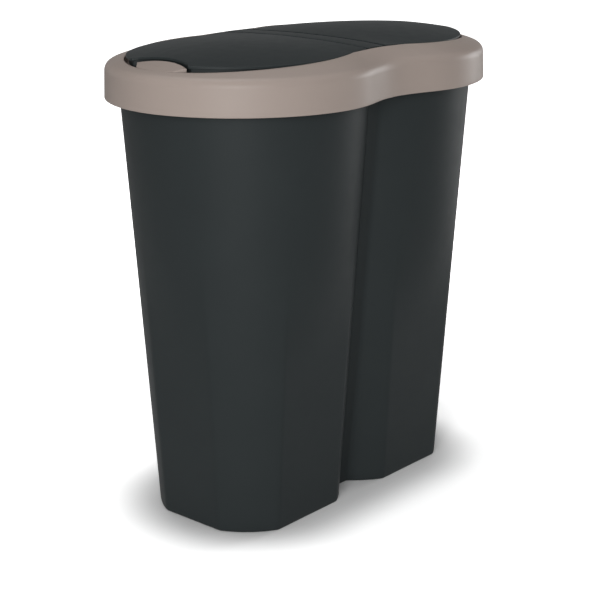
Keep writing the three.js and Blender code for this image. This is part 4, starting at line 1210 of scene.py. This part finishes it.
def domed_shell(
    outline: np.ndarray,
    centre: tuple,
    top: Callable[[np.ndarray, np.ndarray], np.ndarray],
    side_bottom: Callable[[np.ndarray, np.ndarray], np.ndarray],
    wall: float,
    edge: float,
) -> Surface:
    """A thin shell with a shaped top, a rounded edge, a side wall and a hollow underside.

    The top's points are the outline shrunk towards the centre in proportion, at the height that `top` gives.
    The edge is a quarter round: at each angle the outline is drawn in by the radius times one less the sine,
    and lies below the top by the radius times one less the cosine. The inside is the outline drawn in by the
    wall, and the top lowered by it.

    Args:
        outline: counterclockwise plan, shape (n, 2).
        centre: a point that every part of the outline can be seen from.
        top: height of the top at x and y.
        side_bottom: height of the side wall's lower edge at x and y.
        wall: thickness.
        edge: radius of the quarter round.

    Returns:
        The surface, with its faces outwards.
    """
    foot_trim, inner_trim, least_inside, fillet = 0.35, 0.2, 0.25, 0.8
    middle = np.array(centre)

    def ring(plan: np.ndarray, heights: np.ndarray) -> np.ndarray:
        """A plan at these heights."""
        return np.column_stack([plan, heights])

    shares = np.concatenate([np.linspace(0.04, 0.9, 26), np.linspace(0.92, 1.0, 8)])
    start, inner = inset(outline, edge), inset(outline, wall)
    rings = [ring(plan, top(*plan.T)) for plan in (middle + share * (start - middle) for share in shares)]
    for angle in np.linspace(0, np.pi / 2, 9)[1:]:
        plan = inset(outline, edge * (1 - math.sin(angle)))
        rings.append(ring(plan, top(*start.T) - edge * (1 - math.cos(angle))))
    low = side_bottom(*outline.T)
    rings += [
        ring(outline, low + foot_trim),
        ring(inset(outline, foot_trim), low),
        ring(inset(outline, wall - inner_trim), low),
        ring(inner, low + inner_trim),
        ring(inner, np.maximum(top(*inner.T) - wall, low + least_inside)),
    ]
    for share in shares[::-1]:
        plan = middle + share * (inset(outline, wall + fillet) - middle)
        rings.append(ring(plan, top(*plan.T) - wall))
    upper = float(top(*centre))
    return lofted(np.array(rings), np.array([*centre, upper]), np.array([*centre, upper - wall]))


@dataclass(frozen=True)
class Lid:
    """One domed flap with its stiffening rib, hinge knuckles and catch."""

    shape: LidShape = LidShape()
    button: ButtonShape = ButtonShape()
    wall: float = 2.4
    edge: float = 1.1
    corner: float = 2.2
    rib_start_x: float = 34.0
    rib_inset: float = 3.0
    rib_width: float = 2.0
    rib_bottom: float = 489.5
    hinge_x: float = 24.0
    hinge_z: float = 496.5
    knuckle_radius: float = 3.2
    knuckle_y: float = 62.0
    knuckle_width: float = 8.0
    catch_x: float = 185.5
    catch_thickness: float = 2.0
    catch_barb: float = 1.4
    catch_bottom: float = 483.5
    catch_barb_height: float = 1.7
    barb_start: float = 0.6  # share of its height at which the barb stands out
    catch_half_width: float = 4.6
    centre_x: float = 104.0
    skirt: float = 0.05  # how far the side wall reaches below the skin

    def plan(self) -> np.ndarray:
        """The lid's outline: its straight inner edge, its sides, and the notch for the button.

        The side's half width is that of the shared shape. The notch is the button's arc grown by the gap,
        and from its corners two straight lines splay out until they meet the sides.

        Returns:
            Array of shape (n, 2), counterclockwise, with rounded corners.
        """
        arc = self.button.arc(self.button.notch_gap)
        corner_x, corner_y = arc[-1]
        tip = LOBE_X + self.shape.length_radius
        end = lobe_end(self.shape.length_radius, self.shape.width_radius, 400)
        beyond = end[:, 1] > corner_y + self.button.notch_splay * (end[:, 0] - corner_x)
        end = end[beyond & (end[:, 0] < tip)]
        x = np.linspace(LOBE_X, self.shape.inner_x, 160)[1:]
        waist = np.column_stack([x, self.shape.half_width(x)])
        back = np.vstack([end, waist])
        return softened(np.vstack([back, back[::-1] * [1, -1], arc]), 520, self.corner)

    def rib(self) -> Surface:
        """The rib under the lid.

        It is a strip that follows the outline at its inset, from rib_start_x round the notch and back, with
        its top in the skin and a flat foot.

        Returns:
            The surface.
        """
        outer, inner = (inset(self.plan(), self.rib_inset + width) for width in (0, self.rib_width))
        keep = outer[:, 0] > self.rib_start_x
        start = int(np.argmax(keep & ~np.roll(keep, 1)))
        outer, inner, keep = (np.roll(part, -start, axis=0) for part in (outer, inner, keep))
        outer, inner = outer[keep], inner[keep]
        high_out, high_in = (self.shape.top(*part.T) - self.wall / 2 for part in (outer, inner))
        low = np.full(len(outer), self.rib_bottom)
        corners = [(outer, high_out), (inner, high_in), (inner, low), (outer, low)]
        return lofted(np.stack([np.column_stack(corner) for corner in corners], axis=1))

    def knuckle(self, end: int) -> Surface:
        """One hinge knuckle: a round on the hinge's axis under a block that reaches the skin."""
        half = self.knuckle_width / 2
        roof = float(self.shape.top(self.hinge_x, self.knuckle_y + half)) - self.wall / 2
        y = end * self.knuckle_y
        return rounded_bar((self.hinge_x, self.hinge_z), self.knuckle_radius, roof, y - half, y + half)

    def catch(self) -> Surface:
        """The barbed plate that the latch holds."""
        inner, outer = self.catch_x, self.catch_x + self.catch_thickness
        barb, low = outer + self.catch_barb, self.catch_bottom
        high = low + self.catch_barb_height
        start = low + self.catch_barb_height * self.barb_start
        roof = float(self.shape.top(inner, 0.0)) - self.wall / 2
        profile = [[inner, low], [outer, low], [barb, start], [barb, high], [outer, high]]
        profile += [[outer, roof], [inner, roof]]
        return bar_along_y(np.array(profile), -self.catch_half_width, self.catch_half_width)

    def build(self, maker: Maker, side: str) -> None:
        """Makes the lid of one side and dresses its rubber buffers.

        Args:
            maker: makes the pieces.
            side: left or right.
        """
        top, depth = self.shape.top, self.wall + self.skirt
        centre = (self.centre_x, 0.0)
        skin = domed_shell(self.plan(), centre, top, lambda x, y: top(x, y) - depth, self.wall, self.edge)
        whole = joined(skin, self.rib(), self.knuckle(1), self.knuckle(-1), self.catch()).on_side(side)
        maker.piece(f"{side}_lid_dome", whole, Slot.GRAPHITE, f"{side}_lid_flap", (f"{side}_lid",))
        for end in ("front", "back"):
            maker.finishes.dress_cad(f"{side}_lid_buffer_{end}", Slot.RUBBER)


@dataclass(frozen=True)
class PushButton:
    """One taupe push button: a hollow cap on a stem."""

    shape: ButtonShape = ButtonShape()
    collar: Collar = Collar()
    centre_x: float = 212.0
    wall: float = 2.0
    edge: float = 0.8
    corner: float = 1.4
    skirt_rest: float = 489.1
    skirt_slope: float = 0.12
    stem_radius: float = 3.9
    neck_radius: float = 2.6
    foot_radius: float = 3.4
    foot_trim: float = 0.3
    foot_height: float = 1.3
    tip_radius: float = 1.5
    tip_height: float = 1.3
    clip_thickness: float = 1.2
    clip_play: float = 0.1

    def skirt(self, x: np.ndarray, y: np.ndarray) -> np.ndarray:
        """Height of the cap's lower edge, which rises inwards from the button's outer end."""
        outer_x = LOBE_X + self.collar.opening_length - self.shape.edge_gap
        return self.skirt_rest + self.skirt_slope * (outer_x - x)

    def plan(self) -> np.ndarray:
        """The button's outline: its arc, a straight side at each corner, and the opening's own curve.

        Returns:
            Array of shape (n, 2), counterclockwise, with rounded corners.
        """
        arc = self.shape.arc(0.0)
        corner_x, half = arc[-1]
        y = np.linspace(-half, half, 241)
        length = self.collar.opening_length - self.shape.edge_gap
        width = self.collar.opening_width - self.shape.edge_gap
        curve = LOBE_X + length * (1 - (np.abs(y) / width) ** ROUNDNESS) ** (1 / ROUNDNESS)
        side = corner_x + self.shape.corner_slope * (half - np.abs(y))
        outer = np.column_stack([np.minimum(curve, side), y])
        return softened(np.vstack([outer[1:-1], arc[::-1]]), 320, self.corner)

    def stem(self) -> Surface:
        """The stem, its neck for the clip, its foot and its tip, as one turned shape."""
        guide_end, stem_x = self.collar.guide_bottom, self.collar.stem_x
        shoulder = guide_end - CLEARANCE / 2
        foot_top = guide_end - CLEARANCE - self.clip_thickness - self.clip_play
        foot_low = foot_top - self.foot_height
        tip = foot_low - self.tip_height
        roof = float(self.shape.face(stem_x, 0.0)) - self.wall / 2
        profile = [
            (0, tip),
            (self.tip_radius - TRIM, tip),
            (self.tip_radius, tip + TRIM),
            (self.tip_radius, foot_low),
            (self.foot_radius - self.foot_trim, foot_low),
            (self.foot_radius, foot_low + self.foot_trim),
            (self.foot_radius, foot_top),
            (self.neck_radius, foot_top),
            (self.neck_radius, shoulder),
            (self.stem_radius, shoulder),
            (self.stem_radius, roof),
            (0, roof),
        ]
        return turned(profile).moved(stem_x, 0.0)

    def build(self, maker: Maker, side: str) -> None:
        """Makes the button of one side and dresses its clip.

        Args:
            maker: makes the pieces.
            side: left or right.
        """
        centre = (self.centre_x, 0.0)
        cap = domed_shell(self.plan(), centre, self.shape.face, self.skirt, self.wall, self.edge)
        whole = joined(cap, self.stem()).on_side(side)
        maker.piece(f"{side}_button_cap", whole, Slot.TAUPE, f"{side}_push_button", (f"{side}_button",))
        maker.finishes.dress_cad(f"{side}_button_clip", Slot.STEEL)


@dataclass(frozen=True)
class HingeBridge:
    """The dark strip between the lids, its plate and the posts that carry the hinge pins."""

    lid: Lid = Lid()
    collar: Collar = Collar()
    sweep_gap: float = 0.5
    wall: float = 2.2
    rounding: float = 1.8
    ring_spacing: float = 2.0
    plate_half_width: float = 30.0
    plate_half_length: float = 98.0
    plate_corner: float = 2.0
    plate_top: float = 482.5
    plate_thickness: float = 2.3
    post_gap: float = 0.5
    post_width: float = 5.0
    screw_hole: float = 1.7

    def top(self, y: float) -> float:
        """Height of the strip, which is the lids' at their inner edge."""
        return float(self.lid.shape.top(self.lid.shape.inner_x, y))

    def half_width(self) -> float:
        """Half width that the lids' inner corners leave as they swing."""
        arm, rise = self.lid.hinge_x - self.lid.shape.inner_x, self.top(0.0) - self.lid.hinge_z
        return self.lid.hinge_x - math.hypot(arm, rise) - self.sweep_gap

    def strip(self, y0: float, y1: float, foot: float) -> Surface:
        """The strip between two y, hollow from below.

        The section is upright sides, a quarter round at each top edge and a flat top, which is as high as
        the lids are at that y.

        Args:
            y0: front end.
            y1: back end.
            foot: height of its lower edge.

        Returns:
            The surface.
        """
        half, radius = self.half_width(), self.rounding
        inside = half - self.wall
        rings = []
        for y in np.linspace(y0, y1, max(2, int((y1 - y0) / self.ring_spacing))):
            top = self.top(y)
            corner = arc((half - radius, top - radius), radius, 0, np.pi / 2, 9)
            right = np.vstack([[half, foot], corner])
            roof = top - self.wall
            inner = [[-inside, foot], [-inside, roof], [inside, roof], [inside, foot]]
            section = np.vstack([right, right[::-1] * [-1, 1], inner])
            rings.append(np.column_stack([section[:, 0], np.full(len(section), y), section[:, 1]]))
        return lofted(np.array(rings))

    def post(self, y: float) -> Surface:
        """One post with a rounded head on the hinge's axis."""
        axis, half = (self.lid.hinge_x, self.lid.hinge_z), self.post_width / 2
        foot = self.plate_top - OVERLAP
        return rounded_bar(axis, self.lid.knuckle_radius, foot, y - half, y + half)

    def build(self, maker: Maker) -> None:
        """Makes the bridge and dresses its screws."""
        low = self.plate_top - self.plate_thickness
        base = softened(rectangle(self.plate_half_width, self.plate_half_length), 480, self.plate_corner)
        screw_x, screw_y = self.collar.screw_x, self.collar.screw_y
        holes = tuple(circle(self.screw_hole, sx * screw_x, sy * screw_y) for sx, sy in CORNERS)
        far, near = float(self.lid.shape.half_width(0.0)), self.collar.bridge_shelf_y - CLEARANCE
        over_shelf = self.collar.ledge_top + CLEARANCE
        offset = self.lid.knuckle_width / 2 + self.post_gap + self.post_width / 2
        posts = [self.post(sy * self.lid.knuckle_y + step * offset) for sy, step in CORNERS]
        whole = joined(
            plate(base, low, self.plate_top, holes),
            self.strip(-near, near, low),
            self.strip(-far, -near, over_shelf),
            self.strip(near, far, over_shelf),
            *posts,
            *[post.mirrored() for post in posts],
        )
        maker.piece("bridge_moulding", whole, Slot.GRAPHITE, "lid_frame_unit", ("hinge_bridge",))
        for number in range(1, 5):
            maker.finishes.dress_cad(f"bridge_screw_{number}", Slot.STEEL)


@dataclass(frozen=True)
class Hardware:
    """Pins, clips, springs and latches of one side."""

    lid: Lid = Lid()
    collar: Collar = Collar()
    spring_radius: float = 2.9
    wire_radius: float = 0.45
    turns: float = 7.25
    points_per_turn: int = 40
    half_length: float = 5.0
    leg: float = 14.0
    leg_points: int = 11
    foot_z: float = 483.25
    coil_radius: float = 5.2
    coil_top: float = 490.4
    coil_turns: int = 4
    pressed_share: float = 0.45

    def lid_spring(self) -> Surface:
        """The torsion spring round the hinge pin.

        The coil's angle runs evenly while y runs from one end to the other: x and z are the axis plus the
        radius times the angle's cosine and sine. A straight leg at one end stands on the bridge's plate, and
        one at the other lies under the lid.

        Returns:
            The surface.
        """
        share = np.linspace(0, 1, int(self.turns) * self.points_per_turn + 1)
        angle = np.pi - share * self.turns * 2 * np.pi
        x = self.lid.hinge_x + self.spring_radius * np.cos(angle)
        z = self.lid.hinge_z + self.spring_radius * np.sin(angle)
        coil = np.column_stack([x, self.half_length * (2 * share - 1), z])
        step = np.arange(self.leg_points)[:, None] / self.leg_points
        start = coil[0] + [0, 0, self.foot_z - self.lid.hinge_z]
        tip_x = self.lid.hinge_x + self.leg
        under = float(self.lid.shape.top(tip_x, self.half_length)) - self.lid.wall - CLEARANCE
        tip = np.array([tip_x, self.half_length, under - self.wire_radius])
        low_leg = start + (coil[0] - start) * step
        high_leg = coil[-1] + (tip - coil[-1]) * (step + 1 / self.leg_points)
        return wire(np.vstack([low_leg, coil, high_leg]), self.wire_radius, np.array([0.0, 1.0, 0.0]))

    def button_spring(self) -> Surface:
        """The compression spring round the button's stem: x and y go round while z rises evenly."""
        share = np.linspace(0, 1, self.coil_turns * self.points_per_turn + 1)
        angle = share * self.coil_turns * 2 * np.pi
        low = self.collar.ledge_top + CLEARANCE + self.wire_radius
        x = self.collar.stem_x + self.coil_radius * np.cos(angle)
        path = np.column_stack([x, self.coil_radius * np.sin(angle), low + (self.coil_top - low) * share])
        return wire(path, self.wire_radius, np.array([0.0, 0.0, 1.0]))

    def build(self, maker: Maker, side: str) -> None:
        """Makes one side's springs and dresses the rest.

        Args:
            maker: makes the pieces.
            side: left or right.
        """
        body, seat_x = "lid_frame_unit", self.collar.stem_x * (-1 if side == "left" else 1)
        coil, spring = self.button_spring().on_side(side), self.lid_spring().on_side(side)
        maker.piece(f"{side}_torsion_spring", spring, Slot.STEEL, body, (f"{side}_lid_spring",))
        made = maker.piece(
            f"{side}_compression_spring", coil, Slot.STEEL, body, (f"{side}_button_spring",)
        )
        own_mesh(made)
        for name in ("hinge_pin", "pin_clip_front", "pin_clip_back", "latch_pin"):
            maker.finishes.dress_cad(f"{side}_{name}", Slot.STEEL)
        maker.finishes.dress_cad(f"{side}_latch", Slot.GRAPHITE)


# ---------- studio ----------

RANGE = ("Value", "From Min", "From Max", "To Min", "To Max")  # sockets of a map from range to range


@dataclass(frozen=True)
class Camera:
    """The camera, at the photograph's view."""

    place: tuple = (-1.24865, -1.08643, 0.71044)
    turn: float = 0.8630
    tilt: float = 0.29661
    lens: float = 92.08
    shift_x: float = -0.0236
    shift_y: float = 0.0045
    sensor_width: float = 36.0
    clip_end: float = 30.0

    def build(self) -> None:
        """Makes the camera and gives it to the scene."""
        data = bpy.data.cameras.new("camera")
        for name in ("lens", "shift_x", "shift_y", "sensor_width", "clip_end"):
            setattr(data, name, getattr(self, name))
        made = new_object("camera", data)
        made.location = self.place
        made.rotation_euler = (math.pi / 2 - self.tilt, 0.0, -self.turn)
        bpy.context.scene.camera = made


@dataclass(frozen=True)
class Softbox:
    """One square softbox: where it stands, how wide it is in metres, its power in watts."""

    name: str
    place: tuple
    size: float
    power: float
    aim_height: float = 0.3

    def build(self) -> None:
        """Makes the lamp, aimed at the middle of the bin."""
        data = bpy.data.lights.new(self.name, "AREA")
        data.shape = "SQUARE"
        data.size = self.size
        data.energy = self.power
        made = new_object(self.name, data)
        made.location = self.place
        x, y, z = np.array([0.0, 0.0, self.aim_height]) - np.array(self.place)
        made.rotation_euler = (math.atan2(math.hypot(x, y), -z), 0.0, math.atan2(-x, y))


@dataclass(frozen=True)
class Studio:
    """A pale floor with a painted contact shadow round the bin's foot, a white surround and soft lamps.
    Lengths are in metres.
    """

    floor_half: float = 12.0
    floor_colour: str = "#e6e6e6"
    lobe_x: float = 0.09
    foot_radius: float = 0.09
    # darker floor paint near the foot is a painted contact shadow: it ends at this distance and starts at
    # this gain
    painted_shadow_end: float = 0.165
    painted_shadow_darkest_gain: float = 0.9
    camera_gain: float = 2.2
    glow_start: float = 0.3
    glow_end: float = 0.9
    surround: float = 0.29
    backdrop_level: float = 0.5
    backdrop_full: float = 0.14
    backdrop_end: float = 0.36
    horizon_level: float = 0.03
    horizon_end: float = 0.5
    sky_start: float = 0.85
    lamps: tuple = (
        Softbox("key_softbox", (-2.15, -1.45, 0.95), 1.2, 42.0),
        Softbox("right_softbox", (2.3, -0.6, 0.7), 1.0, 18.0),
        Softbox("overhead_softbox", (-0.1, 0.3, 2.4), 1.0, 11.0),
    )

    def floor(self) -> None:
        """Makes the floor: pale and matt, and exposed to white for the camera.

        For camera rays its paint is a grey at the level of a gain. The lamps' shadow stays under it, and the
        gain also paints a contact shadow round the bin's foot. The gain rises smoothly with the distance
        from the line between the chambers' centres: it is lowest at the foot's outline, where the painted
        shade is darkest, and full where the painted shadow ends. A glow that rises with that distance
        carries it on to white.
        """
        mesh = bpy.data.meshes.new("studio_floor")
        corners = ring_at(rectangle(self.floor_half, self.floor_half), 0.0)
        mesh.from_pydata(corners.tolist(), [], [(0, 1, 2, 3)])
        made = new_object("studio_floor", mesh)
        material, add = new_material("painted_studio_floor")
        camera = add("ShaderNodeLightPath", {})["Is Camera Ray"]
        split = add("ShaderNodeSeparateXYZ", {0: add("ShaderNodeTexCoord", {})["Object"]})
        side = add("ShaderNodeMath", {0: split["X"]}, operation="ABSOLUTE")[0]
        past = add("ShaderNodeMath", {0: side, 1: self.lobe_x}, operation="SUBTRACT")[0]
        along = add("ShaderNodeMath", {0: past, 1: 0.0}, operation="MAXIMUM")[0]
        flat = add("ShaderNodeCombineXYZ", {0: along, 1: split["Y"]})[0]
        away = add("ShaderNodeVectorMath", {0: flat}, operation="LENGTH")["Value"]
        glow_span = dict(zip(RANGE, (away, self.glow_start, self.glow_end)))
        painted_shadow_ramp = (self.foot_radius, self.painted_shadow_end, self.painted_shadow_darkest_gain, self.camera_gain)
        painted_shadow_span = dict(zip(RANGE, (away, *painted_shadow_ramp)))
        glow_level = add("ShaderNodeMapRange", glow_span)["Result"]
        # painted contact shadow: this gain is lowest at the foot's outline and rises smoothly outwards
        gain_with_painted_shadow = add("ShaderNodeMapRange", painted_shadow_span, interpolation_type="SMOOTHSTEP")["Result"]
        level = add("ShaderNodeMath", {0: camera, 1: glow_level}, operation="MULTIPLY")[0]
        # for camera rays the floor's colour is the gain, painted shade near the foot included
        shown = add("ShaderNodeMix", {0: camera, 6: linear(self.floor_colour), 7: gain_with_painted_shadow}, data_type="RGBA")[2]
        paint = add("ShaderNodeBsdfDiffuse", {"Color": shown})[0]
        glow = add("ShaderNodeEmission", {"Strength": level})[0]
        both = add("ShaderNodeAddShader", {0: paint, 1: glow})[0]
        add("ShaderNodeOutputMaterial", {"Surface": both})
        mesh.materials.append(material)

    def world(self) -> None:
        """Makes the surround: a soft even light that the camera sees as white.

        In a reflection it is white overhead, dark at a middle height, as black cards keep a dark product
        dark, and pale again low down, where the backdrop stands: its level goes smoothly with the
        direction's z.
        """
        world = bpy.data.worlds.new("studio_surround")
        bpy.context.scene.world = world
        world.use_nodes = True
        world.node_tree.nodes.clear()
        add = partial(add_node, world.node_tree)
        seen = add("ShaderNodeLightPath", {})
        rays = {0: seen["Is Camera Ray"], 1: seen["Is Transmission Ray"]}
        either = add("ShaderNodeMath", rays, operation="MAXIMUM")[0]
        direct_span = {"Value": either, "To Min": self.surround, "To Max": 1.0}
        direct = add("ShaderNodeMapRange", direct_span)["Result"]
        heading = add("ShaderNodeTexCoord", {})["Generated"]
        height = add("ShaderNodeSeparateXYZ", {0: heading})["Z"]
        dark, white = self.horizon_level - self.surround, 1.0 - self.surround
        overhead, backdrop = (
            add("ShaderNodeMapRange", dict(zip(RANGE, span)), interpolation_type="SMOOTHSTEP")["Result"]
            for span in (
                (height, self.horizon_end, self.sky_start, dark, white),
                (height, self.backdrop_full, self.backdrop_end, self.backdrop_level, 0.0),
            )
        )
        reflected = add("ShaderNodeMath", {0: overhead, 1: backdrop}, operation="ADD")[0]
        glossy = add("ShaderNodeMath", {0: reflected, 1: seen["Is Glossy Ray"]}, operation="MULTIPLY")[0]
        level = add("ShaderNodeMath", {0: direct, 1: glossy}, operation="ADD")[0]
        sky = add("ShaderNodeBackground", {"Strength": level})[0]
        add("ShaderNodeOutputWorld", {"Surface": sky})

    def build(self) -> None:
        """Makes the whole studio and sets how colours are shown."""
        self.floor()
        self.world()
        for lamp in self.lamps:
            lamp.build()
        bpy.context.scene.view_settings.view_transform = "Standard"


def main() -> None:
    """Builds the bin and its studio."""
    logging.basicConfig(level=logging.INFO, format="%(message)s")
    Camera().build()
    Studio().build()
    maker = Maker(Finishes().build())
    Tub().build(maker)
    Collar().build(maker)
    HingeBridge().build(maker)
    for side in SIDES:
        Lid().build(maker, side)
        PushButton().build(maker, side)
        Hardware().build(maker, side)


if __name__ == "__main__":
    main()
